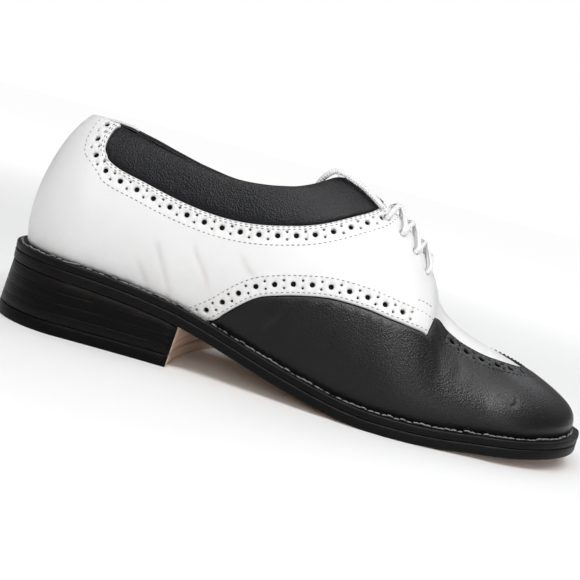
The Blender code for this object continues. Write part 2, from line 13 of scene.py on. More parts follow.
import bmesh
import bpy
import numpy as np
from mathutils import Matrix, Vector
from mathutils.geometry import delaunay_2d_cdt


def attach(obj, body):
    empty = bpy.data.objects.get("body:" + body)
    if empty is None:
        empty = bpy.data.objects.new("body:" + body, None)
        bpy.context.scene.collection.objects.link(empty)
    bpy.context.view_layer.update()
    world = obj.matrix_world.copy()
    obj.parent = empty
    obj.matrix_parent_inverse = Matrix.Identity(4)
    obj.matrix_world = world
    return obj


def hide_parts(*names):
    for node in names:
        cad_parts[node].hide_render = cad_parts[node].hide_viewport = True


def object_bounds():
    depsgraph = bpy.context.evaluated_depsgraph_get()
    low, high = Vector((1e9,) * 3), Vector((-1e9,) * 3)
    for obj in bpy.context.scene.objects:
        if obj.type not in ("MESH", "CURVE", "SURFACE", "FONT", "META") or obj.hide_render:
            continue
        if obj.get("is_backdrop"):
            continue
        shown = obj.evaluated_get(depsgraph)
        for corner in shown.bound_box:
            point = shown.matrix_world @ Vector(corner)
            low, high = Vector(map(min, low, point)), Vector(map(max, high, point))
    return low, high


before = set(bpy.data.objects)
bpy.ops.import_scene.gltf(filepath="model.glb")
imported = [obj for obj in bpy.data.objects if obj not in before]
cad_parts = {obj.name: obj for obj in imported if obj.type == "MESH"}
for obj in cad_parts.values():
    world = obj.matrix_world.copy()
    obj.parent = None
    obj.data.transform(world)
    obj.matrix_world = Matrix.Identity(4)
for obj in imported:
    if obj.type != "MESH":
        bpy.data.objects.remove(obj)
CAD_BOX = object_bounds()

Array = np.ndarray
Colour = tuple[float, float, float, float]
LOG = logging.getLogger("shoe")

# Sections of the foot shape. Angle 180 is straight back, 90 across, 0 straight ahead.
# x is a share of the sole's length and the widths are shares of the ball's half width.
STATIONS = np.array((
    # station, angle, x, shift, lateral, medial, margin, belly_lateral, belly_medial, belly_height, shoulder
    (0.0, 180.0, 0.1360, 0.000, 0.723, 0.723, 0.149, 0.055, 0.055, 0.30, 0.80),
    (0.8, 150.0, 0.1360, 0.000, 0.723, 0.723, 0.149, 0.075, 0.075, 0.30, 0.82),
    (1.6, 120.0, 0.1360, 0.000, 0.695, 0.690, 0.145, 0.105, 0.105, 0.30, 0.86),
    (2.4, 90.0, 0.1360, 0.000, 0.675, 0.660, 0.140, 0.110, 0.110, 0.30, 0.88),
    (3.2, 90.0, 0.2480, 0.000, 0.675, 0.610, 0.130, 0.110, 0.150, 0.30, 0.84),
    (4.0, 90.0, 0.3480, 0.000, 0.705, 0.560, 0.120, 0.090, 0.200, 0.32, 0.74),
    (5.0, 90.0, 0.4640, 0.010, 0.800, 0.590, 0.120, 0.085, 0.220, 0.35, 0.60),
    (6.0, 90.0, 0.5800, 0.032, 0.925, 0.765, 0.135, 0.075, 0.140, 0.35, 0.56),
    (7.0, 90.0, 0.6800, 0.054, 0.990, 0.930, 0.145, 0.065, 0.085, 0.35, 0.56),
    (8.0, 90.0, 0.8090, 0.065, 0.870, 0.870, 0.150, 0.065, 0.065, 0.36, 0.62),
    (8.7, 62.0, 0.8090, 0.065, 0.895, 0.895, 0.150, 0.065, 0.065, 0.36, 0.66),
    (9.4, 30.0, 0.8090, 0.065, 0.980, 0.985, 0.150, 0.065, 0.065, 0.36, 0.69),
    (10.0, 0.0, 0.8090, 0.065, 1.063, 1.063, 0.150, 0.065, 0.065, 0.36, 0.70),
))
# Top line of the foot shape: x as a share of the length, height as a share of the crest's height.
CREST = np.array((
    (0.136, 0.965), (0.248, 0.975), (0.348, 0.990), (0.430, 0.990), (0.500, 0.955), (0.540, 0.915),
    (0.580, 0.868), (0.620, 0.800), (0.655, 0.712), (0.680, 0.632), (0.700, 0.553), (0.718, 0.493),
    (0.745, 0.447), (0.775, 0.414), (0.809, 0.386),
))
# Underside of the outsole: x, share of the heel seat's height, share of the toe spring.
PROFILE = np.array((
    (-0.02, 1.000, 0.00), (0.023, 1.000, 0.00), (0.136, 0.964, 0.00), (0.248, 0.856, 0.00),
    (0.305, 0.760, 0.00), (0.348, 0.650, 0.00), (0.406, 0.480, 0.00), (0.464, 0.310, 0.00),
    (0.530, 0.150, 0.00), (0.585, 0.045, 0.00), (0.630, 0.000, 0.00), (0.710, 0.000, 0.00),
    (0.760, 0.000, 0.09), (0.808, 0.000, 0.27), (0.871, 0.000, 0.52), (0.940, 0.000, 0.80),
    (1.02, 0.000, 1.05),
))
# Edges of the panels: station and height share.
TOPLINE = np.array((
    (0.0, 0.757), (1.1, 0.757), (1.75, 0.757), (2.37, 0.738), (2.70, 0.707), (2.93, 0.675),
    (3.15, 0.650), (3.42, 0.631), (3.69, 0.617), (3.96, 0.615), (4.22, 0.623), (4.49, 0.641),
    (4.75, 0.673), (5.00, 0.735), (5.22, 0.822), (5.42, 0.872), (5.70, 0.890), (6.10, 0.895),
    (6.50, 0.900), (6.85, 0.908), (7.00, 0.930), (7.10, 1.000),
))
COLLAR_EDGE = np.array((
    (2.404, 0.736), (2.207, 0.703), (2.162, 0.650), (2.180, 0.600), (2.362, 0.556), (2.645, 0.512),
    (2.85, 0.494), (3.135, 0.468), (3.46, 0.449), (3.727, 0.441), (4.128, 0.449), (4.672, 0.489),
    (5.192, 0.566), (5.545, 0.667), (5.848, 0.800), (5.93, 0.892),
))
WING_EDGE = np.array((
    (4.04, 0.000), (4.13, 0.024), (4.258, 0.084), (4.436, 0.153), (4.634, 0.208), (4.887, 0.249),
    (5.192, 0.290), (5.589, 0.339), (6.024, 0.374), (6.525, 0.409), (6.85, 0.450), (7.061, 0.495),
))
QUARTER_FRONT = np.array((
    (7.061, 0.495), (7.103, 0.608), (7.125, 0.690), (7.125, 0.770), (7.110, 0.860), (7.000, 0.925),
))
WING_TOP = np.array((
    (7.125, 0.655), (7.22, 0.706), (7.33, 0.722), (7.455, 0.724), (7.675, 0.737), (7.965, 0.760),
    (8.40, 0.775), (8.80, 0.786), (9.20, 0.793), (9.60, 0.797), (10.0, 0.798),
))
# Route of the free lace end, as in the part's source: station, height share, lift over the quarter.
LACE_END_PATH = np.array((
    (5.90, 0.800, 1.0), (5.74, 0.822, 1.0), (5.56, 0.836, 1.0), (5.38, 0.836, 1.0),
    (5.24, 0.826, 1.2), (5.13, 0.826, 0.6), (5.04, 0.800, -0.6), (4.98, 0.745, -1.7),
    (4.93, 0.670, -2.2), (4.90, 0.590, -2.6), (4.88, 0.510, -2.9),
))
# Stations where the fan of sections round the heel ends and the one round the toe starts, the toe's
# own station, and the back seam's after the whole way round.
HEEL_FAN = 2.4
TOE_FAN = 8.0
TOE = 10.0
ROUND = 20.0
EYELETS = (6.01, 6.31, 6.60, 6.86)
EYELET_HEIGHT = 0.79
# Rings of mesh points along a panel's edges: share of the edge's roll, metres outside a hole, rim mask.
EDGE_RINGS = ((0.0, 0.0, 1.0), (0.35, 0.00018, 0.75), (1.0, 0.0005, 0.25))
# The share of the mesh points that lie further in.
INNER = 9.0
# Rings of a stitch: share of its length, share of its radius, rise in radii.
STITCH_SHAPE = (
    (-0.5, 0.25, -1.1), (-0.38, 0.9, -0.25), (0.0, 1.0, 0.25), (0.38, 0.9, -0.25), (0.5, 0.25, -1.1),
)
# Lengths and stations closer than this are the same.
CLOSE = 1e-6
# What one station and one height share measure on the shoe, about, in metres.
FLAT = np.array((0.038, 0.090))


class Side(Enum):
    """The two sides of the shoe, by the sign of Y."""

    LATERAL = -1
    MEDIAL = 1

    @property
    def word(self) -> str:
        """The side's name in lower case."""
        return self.name.lower()

    @property
    def step(self) -> int:
        """1 on the lateral side, -1 on the medial side, where lines run the other way."""
        return -self.value

    def turn(self, s: Any) -> Any:
        """Station s as q on this side, or q as its station."""
        return s if self is Side.LATERAL else ROUND - s

    def points(self, s: Array, t: Array) -> Array:
        """(q, t) points of stations and heights on this side, in the order given."""
        return np.stack([self.turn(np.asarray(s, float)), np.asarray(t, float)], -1)

    def line(self, line: Array) -> Array:
        """A line of (station, height) points on this side, turned so that its left stays its left.

        Args:
            line: Points as drawn for the lateral side.

        Returns:
            The points as (q, t), in reverse order on the medial side.
        """
        return self.points(*line.T)[::self.step]

    def shift(self, line: Array, distance: float) -> Array:
        """A lateral line placed on this side and moved to its own left, in the order given.

        Args:
            line: Points of (station, height) as drawn for the lateral side.
            distance: Metres to the left of the line as drawn.

        Returns:
            The moved points as (q, t).
        """
        return step_in(self.line(line), distance)[::self.step]


def unit(v: Array) -> Array:
    """Vectors of length one along the last axis."""
    return v / np.maximum(np.linalg.norm(v, axis=-1, keepdims=True), 1e-12)


def smooth(xs: Array, ys: Array, x: Array) -> Array:
    """Cubic curve through table points.

    Args:
        xs: Rising positions of the table.
        ys: Values of the table.
        x: Where the curve is read.

    Returns:
        The curve's values at x.
    """
    xs = np.asarray(xs, float)
    ys = np.asarray(ys, float)
    x = np.clip(np.asarray(x, float), xs[0], xs[-1])
    step = np.diff(xs)
    rise = np.diff(ys) / step
    slope = np.zeros_like(ys)
    slope[1:-1] = (rise[:-1] * step[1:] + rise[1:] * step[:-1]) / (step[1:] + step[:-1])
    slope[0] = rise[0]
    slope[-1] = rise[-1]
    k = np.clip(np.searchsorted(xs, x, side="right") - 1, 0, len(xs) - 2)
    t = (x - xs[k]) / step[k]
    return ((1 + 2 * t) * (1 - t) ** 2 * ys[k] + t * (1 - t) ** 2 * step[k] * slope[k]
            + t * t * (3 - 2 * t) * ys[k + 1] + t * t * (t - 1) * step[k] * slope[k + 1])


def curve(table: Array, xs: Array, at: Array) -> Array:
    """Smooth curves through every column of a table, xs being the positions of its rows."""
    return np.stack([smooth(xs, column, at) for column in table.T], -1)


@dataclass(frozen=True)
class FootShape:
    """The smooth form that the upper's leather lies on, with the heights of the sole under it."""

    length: float = 0.3015
    half_width: float = 0.0470
    crest: float = 0.1170
    heel_seat: float = 0.0278
    toe_spring: float = 0.0080
    outsole: float = 0.0050
    welt: float = 0.0036
    gap: float = 0.0003
    heel_flare: float = 0.0025
    heel_axis: float = 0.1360
    toe_axis: float = 0.8090
    ridge_slope: float = -0.27
    medial_drop: float = 0.022
    vamp_point: float = 7.10

    def column(self, index: int, s: Array) -> Array:
        """One column of the section table at station s."""
        return smooth(STATIONS[:, 0], STATIONS[:, index], s)

    def sole_bottom(self, x: Array) -> Array:
        """Height of the outsole's underside at x from the heel's back."""
        share = np.asarray(x, float) / self.length
        heel = smooth(PROFILE[:, 0], PROFILE[:, 1], share) * self.heel_seat
        toe = smooth(PROFILE[:, 0], PROFILE[:, 2], share) * self.toe_spring
        return np.maximum(heel + toe, 0.0)

    def sole_top(self, x: Array) -> Array:
        """Height of the outsole's upper face at x."""
        return self.sole_bottom(x) + self.outsole

    def welt_bottom(self, x: Array) -> Array:
        """Height of the welt's underside at x."""
        return self.sole_top(x) + self.gap

    def welt_top(self, x: Array) -> Array:
        """Height of the welt's upper face at x."""
        return self.welt_bottom(x) + self.welt

    def seat(self, x: Array) -> Array:
        """Height the upper stands at."""
        return self.welt_top(x) + self.gap

    def plane(self, q: Array) -> tuple[Array, Array, Array, Array, Array, Array]:
        """Section plane at q: side, station, angle, axis x, axis y and half width."""
        q = np.asarray(q, float)
        side = np.where(q <= TOE, -1.0, 1.0)
        s = np.where(q <= TOE, q, ROUND - q)
        angle = np.where((s >= HEEL_FAN) & (s <= TOE_FAN), 90.0, self.column(1, s))
        angle = np.radians(np.clip(angle, 0.0, 180.0))
        x = np.where(s >= TOE_FAN, self.toe_axis, self.column(2, s))
        x = np.where(s <= HEEL_FAN, self.heel_axis, x)
        width = np.where(side < 0, self.column(4, s), self.column(5, s)) * self.half_width
        return side, s, angle, x * self.length, self.column(3, s) * self.half_width, width

    def point(self, q: Array, t: Array) -> Array:
        """Point of the foot shape, measured from the heel's back.

        Args:
            q: Stations round the shoe.
            t: Height shares, 0 at the sole and 1 at the crest.

        Returns:
            Points with x, y and z on the last axis.
        """
        t = np.asarray(t, float)
        side, s, angle, x, y, width = self.plane(q)
        belly = np.where(side < 0, self.column(7, s), self.column(8, s)) * self.half_width
        low = self.seat(x + width * np.cos(angle))
        top = smooth(CREST[:, 0], CREST[:, 1], x / self.length) * self.crest
        shoulder = width * self.column(10, s)
        radii = (width, width + 2.0 * belly, shoulder, 0.0 * width)
        lean = np.where(s > TOE_FAN, self.ridge_slope * shoulder * np.cos(angle), 0.0)
        heights = (low, low + self.column(9, s) * (top - low), top + lean, top)
        mix = ((1 - t) ** 3, 3 * t * (1 - t) ** 2, 3 * t * t * (1 - t), t ** 3)
        r = sum(m * v for m, v in zip(mix, radii))
        z = sum(m * v for m, v in zip(mix, heights))
        return np.stack([x + r * np.cos(angle), y + side * r * np.sin(angle), z], -1)

    def slopes(self, q: Array, t: Array) -> tuple[Array, Array]:
        """Change of the point for one unit of q and of t."""
        small = 1e-4
        q = np.asarray(q, float)
        t = np.clip(np.asarray(t, float), small, 0.995)
        low = np.maximum(q - small, 0.0)
        high = np.minimum(q + small, ROUND)
        along = (self.point(high, t) - self.point(low, t)) / (high - low)[..., None]
        up = (self.point(q, t + small) - self.point(q, t - small)) / (2 * small)
        return along, up

    def normal(self, q: Array, t: Array) -> Array:
        """Outward unit normal of the foot shape."""
        along, up = self.slopes(q, t)
        return unit(np.cross(along, up))

    def place(self, q: Array, t: Array, d: Any) -> Array:
        """Point of the row frame at distance d outside the foot shape, never below the seat.

        Args:
            q: Stations round the shoe.
            t: Height shares.
            d: Distance outward in metres, one for all or one for each.

        Returns:
            Points in the row frame.
        """
        p = self.point(q, t) + self.normal(q, t) * np.asarray(d, float)[..., None]
        p[..., 2] = np.maximum(p[..., 2], self.seat(p[..., 0]))
        return p - self.middle()

    def rim(self, q: Array) -> Array:
        """Height share of the upper's top edge at q."""
        side, s, *_ = self.plane(q)
        t = np.where(s >= self.vamp_point, 1.0, np.minimum(smooth(TOPLINE[:, 0], TOPLINE[:, 1], s), 1.0))
        dip = np.exp(-((s - 3.8) / 1.1) ** 2) * (s < 5.4) * (side > 0)
        return t - self.medial_drop * dip

    def footprint(self, q: Array, extra: Array) -> tuple[Array, Array]:
        """Plan x and y of the foot's print, grown by extra metres."""
        side, _, angle, x, y, width = self.plane(q)
        r = width + extra
        return x + r * np.cos(angle), y + side * r * np.sin(angle)

    def sole_edge(self, q: Array, inset: float = 0.0) -> tuple[Array, Array]:
        """Plan x and y of the sole's edge, moved inward by inset metres."""
        s = self.plane(q)[1]
        return self.footprint(q, self.column(6, s) * self.half_width - inset)

    def middle(self) -> Array:
        """The row frame's origin, measured from the heel's back."""
        s = np.linspace(0.0, TOE, 401)
        lateral, medial = self.sole_edge(s), self.sole_edge(ROUND - s)
        return np.array([(lateral[0][-1] + lateral[0][0] - self.heel_flare) / 2.0,
                         (lateral[1].min() + medial[1].max()) / 2.0, 0.0])


# Shader helpers
class Nodes:
    """Short calls that place and join the nodes of one tree."""

    def __init__(self, tree: bpy.types.NodeTree) -> None:
        """Keep the tree that the nodes go in."""
        self.tree = tree

    def add(self, kind: str, inputs: dict[Any, Any] | None = None, **settings: Any) -> bpy.types.Node:
        """Place a node.

        Args:
            kind: The node's type without its ShaderNode prefix.
            inputs: Values or sockets for its inputs, by name or number.
            settings: Properties of the node.

        Returns:
            The new node.
        """
        node = self.tree.nodes.new("ShaderNode" + kind)
        for key, value in settings.items():
            setattr(node, key, value)
        for key, value in (inputs or {}).items():
            self.put(node.inputs[key], value)
        return node

    def put(self, socket: bpy.types.NodeSocket, value: Any) -> None:
        """Join a socket to an input, or set the input's value."""
        if isinstance(value, bpy.types.NodeSocket):
            self.tree.links.new(value, socket)
        else:
            socket.default_value = value

    def math(self, operation: str, a: Any, b: Any = 0.0, clamp: bool = False) -> bpy.types.NodeSocket:
        """Result of a Math node."""
        return self.add("Math", {0: a, 1: b}, operation=operation, use_clamp=clamp).outputs[0]

    def times(self, a: Any, b: Any, clamp: bool = False) -> bpy.types.NodeSocket:
        """Product of two values."""
        return self.math("MULTIPLY", a, b, clamp)

    def plus(self, a: Any, b: Any, clamp: bool = False) -> bpy.types.NodeSocket:
        """Sum of two values."""
        return self.math("ADD", a, b, clamp)

    def mask(self, name: str) -> bpy.types.NodeSocket:
        """A value that the mesh holds at its corners."""
        return self.add("Attribute", attribute_name=name).outputs["Fac"]

    def blend(self, factor: Any, a: Any, b: Any) -> bpy.types.NodeSocket:
        """Colour a turned into colour b by a factor."""
        return self.add("Mix", {0: factor, 6: a, 7: b}, data_type="RGBA").outputs[2]

    def span(self, value: Any, low: Any, high: Any, start: float = 0.0,
             end: float = 1.0) -> bpy.types.NodeSocket:
        """A value eased from start at low to end at high."""
        inputs = {0: value, 1: low, 2: high, 3: start, 4: end}
        return self.add("MapRange", inputs, interpolation_type="SMOOTHSTEP").outputs[0]

    def noise(self, vector: Any, scale: Any, detail: float = 2.0,
              roughness: float = 0.5) -> bpy.types.NodeSocket:
        """Soft noise from 0 to 1, scale being its number of cells in a metre."""
        inputs = {"Vector": vector, "Scale": scale, "Detail": detail, "Roughness": roughness}
        return self.add("TexNoise", inputs).outputs["Fac"]

    def height(self, vector: Any) -> bpy.types.NodeSocket:
        """The Z of a vector."""
        return self.add("SeparateXYZ", {0: vector}).outputs["Z"]

    def stretch(self, vector: Any, share: float) -> bpy.types.NodeSocket:
        """A vector with its Z multiplied, which draws out a pattern level."""
        return self.add("VectorMath", {0: vector, 1: (1.0, 1.0, share)}, operation="MULTIPLY").outputs[0]

    def group(self, tree: bpy.types.NodeTree, **inputs: Any) -> bpy.types.Node:
        """Place a node group, its inputs named with _ for spaces."""
        node = self.tree.nodes.new("ShaderNodeGroup")
        node.node_tree = tree
        for key, value in inputs.items():
            self.put(node.inputs[key.replace("_", " ")], value)
        return node


class Effect(Enum):
    """Node groups that several finishes share."""

    GRAIN = "leather grain"
    SOIL_AND_SHADE = "soil handling and painted shade"
    EDGE_WEAR = "edge wear"
    SCUFFS = "scuffs"
    LAYERS = "leather layers"
    TWIST = "thread twist"


class EffectLibrary:
    """Builds each shared node group once and hands it out."""

    def __init__(self) -> None:
        """Build every group."""
        self.trees: dict[Effect, bpy.types.NodeTree] = {}
        self.build_grain()
        self.build_soil_and_shade()
        self.build_edge_wear()
        self.build_scuffs()
        self.build_layers()
        self.build_twist()

    def start(self, effect: Effect, inputs: dict[str, float | None],
              outputs: Sequence[str]) -> tuple[Nodes, Any, Any]:
        """Open a new group.

        Args:
            effect: The group's place in the library.
            inputs: Names and default values, None for a vector.
            outputs: Names of the float outputs.

        Returns:
            The node helper, the sockets that bring the inputs and the sockets that take the outputs.
        """
        tree = bpy.data.node_groups.new(effect.value, "ShaderNodeTree")
        for name, value in inputs.items():
            kind = "NodeSocketVector" if value is None else "NodeSocketFloat"
            socket = tree.interface.new_socket(name=name, in_out="INPUT", socket_type=kind)
            if value is not None:
                socket.default_value = value
        for name in outputs:
            tree.interface.new_socket(name=name, in_out="OUTPUT", socket_type="NodeSocketFloat")
        nodes = Nodes(tree)
        self.trees[effect] = tree
        return nodes, tree.nodes.new("NodeGroupInput").outputs, tree.nodes.new("NodeGroupOutput").inputs

    def build_grain(self) -> None:
        """Pebbles and pores of leather, as a height."""
        names = {"Position": None, "Cells": 1200.0, "Pebble": 0.6}
        nodes, given, out = self.start(Effect.GRAIN, names, ("Height",))
        push = nodes.times(nodes.noise(given["Position"], 420.0, 1.0), 0.0006)
        bent = nodes.add("VectorMath", {0: given["Position"], 1: push}, operation="ADD")
        cells = nodes.add("TexVoronoi", {"Vector": bent.outputs[0], "Scale": given["Cells"]},
                          feature="SMOOTH_F1")
        pebble = nodes.span(cells.outputs["Distance"], 0.15, 0.75, 1.0, 0.0)
        fine = nodes.noise(given["Position"], 3200.0, 2.0, 0.6)
        rest = nodes.math("SUBTRACT", 1.0, given["Pebble"])
        nodes.put(out["Height"], nodes.plus(nodes.times(pebble, given["Pebble"]), nodes.times(fine, rest)))

    def build_soil_and_shade(self) -> None:
        """Soft patches of handling, and a mask that thickens towards the sole; the white finish uses that
        lower band as painted shade, darker low down.
        """
        names = {"Position": None, "Low": 0.02, "High": 0.06, "Patch": 0.5}
        nodes, given, out = self.start(Effect.SOIL_AND_SHADE, names, ("Mask",))
        height = nodes.height(given["Position"])
        low = nodes.span(height, given["Low"], given["High"], 1.0, 0.0)
        broad = nodes.span(nodes.noise(given["Position"], 38.0, 3.0, 0.55), 0.42, 0.72)
        speck = nodes.span(nodes.noise(given["Position"], 180.0, 4.0, 0.6), 0.25, 0.85)
        patch = nodes.times(broad, given["Patch"])
        both = nodes.times(nodes.plus(low, patch), nodes.plus(speck, 0.35), True)
        nodes.put(out["Mask"], both)

    def build_edge_wear(self) -> None:
        """Wear that follows cut edges and holes, broken up by noise; on the black grain the same mask carries
        a painted highlight along the edges.
        """
        names = {"Position": None, "Rim": 0.0, "Amount": 0.6}
        nodes, given, out = self.start(Effect.EDGE_WEAR, names, ("Mask",))
        broken = nodes.span(nodes.noise(given["Position"], 700.0, 3.0, 0.6), 0.30, 0.65, 0.45, 1.0)
        rim = nodes.times(given["Rim"], broken)
        nodes.put(out["Mask"], nodes.times(rim, given["Amount"], True))

    def build_scuffs(self) -> None:
        """Short rubbed streaks that run level, and small chips."""
        names = {"Position": None, "Streaks": 1.0, "Threshold": 0.62}
        nodes, given, out = self.start(Effect.SCUFFS, names, ("Mask", "Height"))
        streak = nodes.noise(nodes.stretch(given["Position"], 7.0), 150.0, 5.0, 0.68)
        lines = nodes.times(nodes.span(streak, given["Threshold"], 0.86), given["Streaks"])
        chips = nodes.span(nodes.noise(given["Position"], 520.0, 4.0, 0.7), 0.66, 0.80)
        nodes.put(out["Mask"], nodes.plus(lines, nodes.times(chips, 0.5), True))
        nodes.put(out["Height"], streak)

    def build_layers(self) -> None:
        """Level lines of stacked leather, with fibres between them."""
        names = {"Position": None, "Pitch": 0.0052, "Start": 0.006}
        nodes, given, out = self.start(Effect.LAYERS, names, ("Line", "Fibre"))
        height = nodes.height(given["Position"])
        sway = nodes.times(nodes.noise(given["Position"], 30.0, 1.0), 0.0012)
        level = nodes.math("SUBTRACT", nodes.plus(height, sway), given["Start"])
        turns = nodes.math("DIVIDE", level, given["Pitch"])
        away = nodes.math("ABSOLUTE", nodes.math("SUBTRACT", nodes.math("FRACT", turns), 0.5))
        nodes.put(out["Line"], nodes.span(away, 0.44, 0.49))
        nodes.put(out["Fibre"], nodes.noise(nodes.stretch(given["Position"], 14.0), 120.0, 4.0, 0.6))

    def build_twist(self) -> None:
        """Crossing strands of a braided lace, read from the tube's own coordinates."""
        names = {"Place": None, "Strands": 6.0, "Pitch": 900.0}
        nodes, given, out = self.start(Effect.TWIST, names, ("Height", "Shade"))
        parts = nodes.add("SeparateXYZ", {0: given["Place"]})
        along = nodes.times(parts.outputs["X"], given["Pitch"])
        around = nodes.times(parts.outputs["Y"], given["Strands"])
        waves = []
        for operation in ("ADD", "SUBTRACT"):
            turn = nodes.times(nodes.math(operation, along, around), math.tau)
            waves.append(nodes.math("SINE", turn))
        weave = nodes.times(waves[0], waves[1])
        nodes.put(out["Height"], nodes.span(weave, -0.9, 0.9))
        nodes.put(out["Shade"], nodes.span(weave, -1.0, -0.2, 1.0, 0.0))


@dataclass(frozen=True)
class Finish:
    """Plain values that every finish sets on its shader."""

    name: str
    slot: str
    colour: Colour
    roughness: float
    specular: float = 0.3
    coat: float = 0.0
    coat_roughness: float = 0.3
    sheen: float = 0.0

    def open(self) -> tuple[bpy.types.Material, Nodes, bpy.types.Node, Any]:
        """Start the material.

        Returns:
            The material, its node helper, its shader and the position on the object.
        """
        made = bpy.data.materials.new(self.name)
        made.use_nodes = True
        made.diffuse_color = self.colour
        nodes = Nodes(made.node_tree)
        shader = made.node_tree.nodes["Principled BSDF"]
        values = {"Base Color": self.colour, "Roughness": self.roughness, "Coat Weight": self.coat,
                  "Specular IOR Level": self.specular, "Coat Roughness": self.coat_roughness,
                  "Sheen Weight": self.sheen}
        for key, value in values.items():
            nodes.put(shader.inputs[key], value)
        return made, nodes, shader, nodes.add("TexCoord").outputs["Object"]

    def bump(self, nodes: Nodes, shader: bpy.types.Node, height: Any, depth: float,
             under: Any = None) -> Any:
        """Feed a height to the shader's normal.

        Args:
            nodes: The material's node helper.
            shader: The material's shader.
            height: Socket with the height, 0 to 1.
            depth: What a height of 1 stands for, in metres.
            under: Normal of a coarser bump below this one.

        Returns:
            The bump's normal socket.
        """
        node = nodes.add("Bump", {"Height": height, "Distance": depth, "Strength": 1.0})
        if under is not None:
            nodes.put(node.inputs["Normal"], under)
        nodes.put(shader.inputs["Normal"], node.outputs[0])
        return node.outputs[0]

    def make(self, effects: EffectLibrary) -> bpy.types.Material:
        """Build the material."""
        made, nodes, shader, position = self.open()
        self.bump(nodes, shader, nodes.noise(position, 1500.0, 3.0), 0.00005)
        return made


@dataclass(frozen=True)
class LeatherFinish(Finish):
    """Grain leather with soiling and painted shade towards the sole, edge wear with a painted highlight on
    the black grain's edges, and folds whose colour is painted shade on the white.
    """

    cells: float = 1500.0
    pebble: float = 0.6
    grain_depth: float = 0.00006
    tone: Colour = (0.5, 0.5, 0.5, 1.0)
    tone_share: float = 0.3
    soil_and_shade: Colour = (0.4, 0.34, 0.28, 1.0)
    soil_and_shade_share: float = 0.3
    soil_and_shade_low: float = 0.030
    soil_and_shade_high: float = 0.060
    edge: Colour = (0.25, 0.22, 0.2, 1.0)
    edge_share: float = 0.4
    # Colour of the crease troughs: painted shade on the white leather, lighter crease wear on the black.
    fold: Colour = (0.3, 0.28, 0.26, 1.0)
    gloss_change: float = 0.15

    def make(self, effects: EffectLibrary) -> bpy.types.Material:
        """Build the material."""
        made, nodes, shader, position = self.open()
        grain = nodes.group(effects.trees[Effect.GRAIN], Position=position, Cells=self.cells,
                            Pebble=self.pebble)
        soil_and_shade = nodes.group(effects.trees[Effect.SOIL_AND_SHADE], Position=position, Low=self.soil_and_shade_low,
                           High=self.soil_and_shade_high)
        rim = nodes.mask("rim")
        fold = nodes.mask("fold")
        wear = nodes.group(effects.trees[Effect.EDGE_WEAR], Position=position, Rim=rim,
                           Amount=self.edge_share)
        broad = nodes.span(nodes.noise(position, 22.0, 2.0), 0.35, 0.7)
        tone = nodes.times(broad, self.tone_share)
        colour = nodes.blend(tone, self.colour, self.tone)
        # Handling patches, and a band darker towards the sole that on the white leather is painted shade.
        colour = nodes.blend(nodes.times(soil_and_shade.outputs[0], self.soil_and_shade_share), colour, self.soil_and_shade)
        # Fold colour: painted shade in the white's crease troughs, crease wear on the black.
        colour = nodes.blend(nodes.times(fold, 0.5, True), colour, self.fold)
        # Edge colour: wear, and on the black grain also a painted highlight along the edges.
        colour = nodes.blend(wear.outputs[0], colour, self.edge)
        nodes.put(shader.inputs["Base Color"], colour)
        spread = nodes.times(nodes.noise(position, 60.0, 3.0), self.gloss_change)
        low = self.roughness - self.gloss_change * 0.5
        nodes.put(shader.inputs["Roughness"], nodes.plus(spread, low, True))
        waves = nodes.add("Bump", {"Height": nodes.noise(position, 45.0, 2.0), "Distance": 0.0003,
                                   "Strength": 0.5})
        self.bump(nodes, shader, grain.outputs["Height"], self.grain_depth, waves.outputs[0])
        return made


@dataclass(frozen=True)
class SoleFinish(Finish):
    """Dyed edge leather with rubbed streaks and, where it is stacked, layer lines."""

    worn: Colour = (0.10, 0.06, 0.04, 1.0)
    worn_share: float = 0.6
    threshold: float = 0.60
    line: Colour = (0.004, 0.004, 0.004, 1.0)
    line_share: float = 0.0
    pitch: float = 0.0052
    start: float = 0.006
    fibre_share: float = 0.0

    def make(self, effects: EffectLibrary) -> bpy.types.Material:
        """Build the material."""
        made, nodes, shader, position = self.open()
        scuff = nodes.group(effects.trees[Effect.SCUFFS], Position=position, Threshold=self.threshold)
        layer = nodes.group(effects.trees[Effect.LAYERS], Position=position, Pitch=self.pitch,
                            Start=self.start)
        rim = nodes.mask("rim")
        wear = nodes.group(effects.trees[Effect.EDGE_WEAR], Position=position, Rim=rim,
                           Amount=self.worn_share)
        fibre = nodes.times(layer.outputs["Fibre"], self.fibre_share)
        colour = nodes.blend(fibre, self.colour, self.worn)
        worn = nodes.times(scuff.outputs["Mask"], self.worn_share)
        colour = nodes.blend(worn, colour, self.worn)
        colour = nodes.blend(wear.outputs[0], colour, self.worn)
        dark = nodes.times(layer.outputs["Line"], self.line_share)
        colour = nodes.blend(dark, colour, self.line)
        nodes.put(shader.inputs["Base Color"], colour)
        rough = nodes.plus(nodes.times(scuff.outputs["Height"], 0.35),
                           self.roughness - 0.17, True)
        nodes.put(shader.inputs["Roughness"], rough)
        height = nodes.math("SUBTRACT", scuff.outputs["Height"], dark)
        coarse = self.bump(nodes, shader, height, 0.00025)
        self.bump(nodes, shader, nodes.noise(position, 1400.0, 3.0), 0.00005, coarse)
        return made


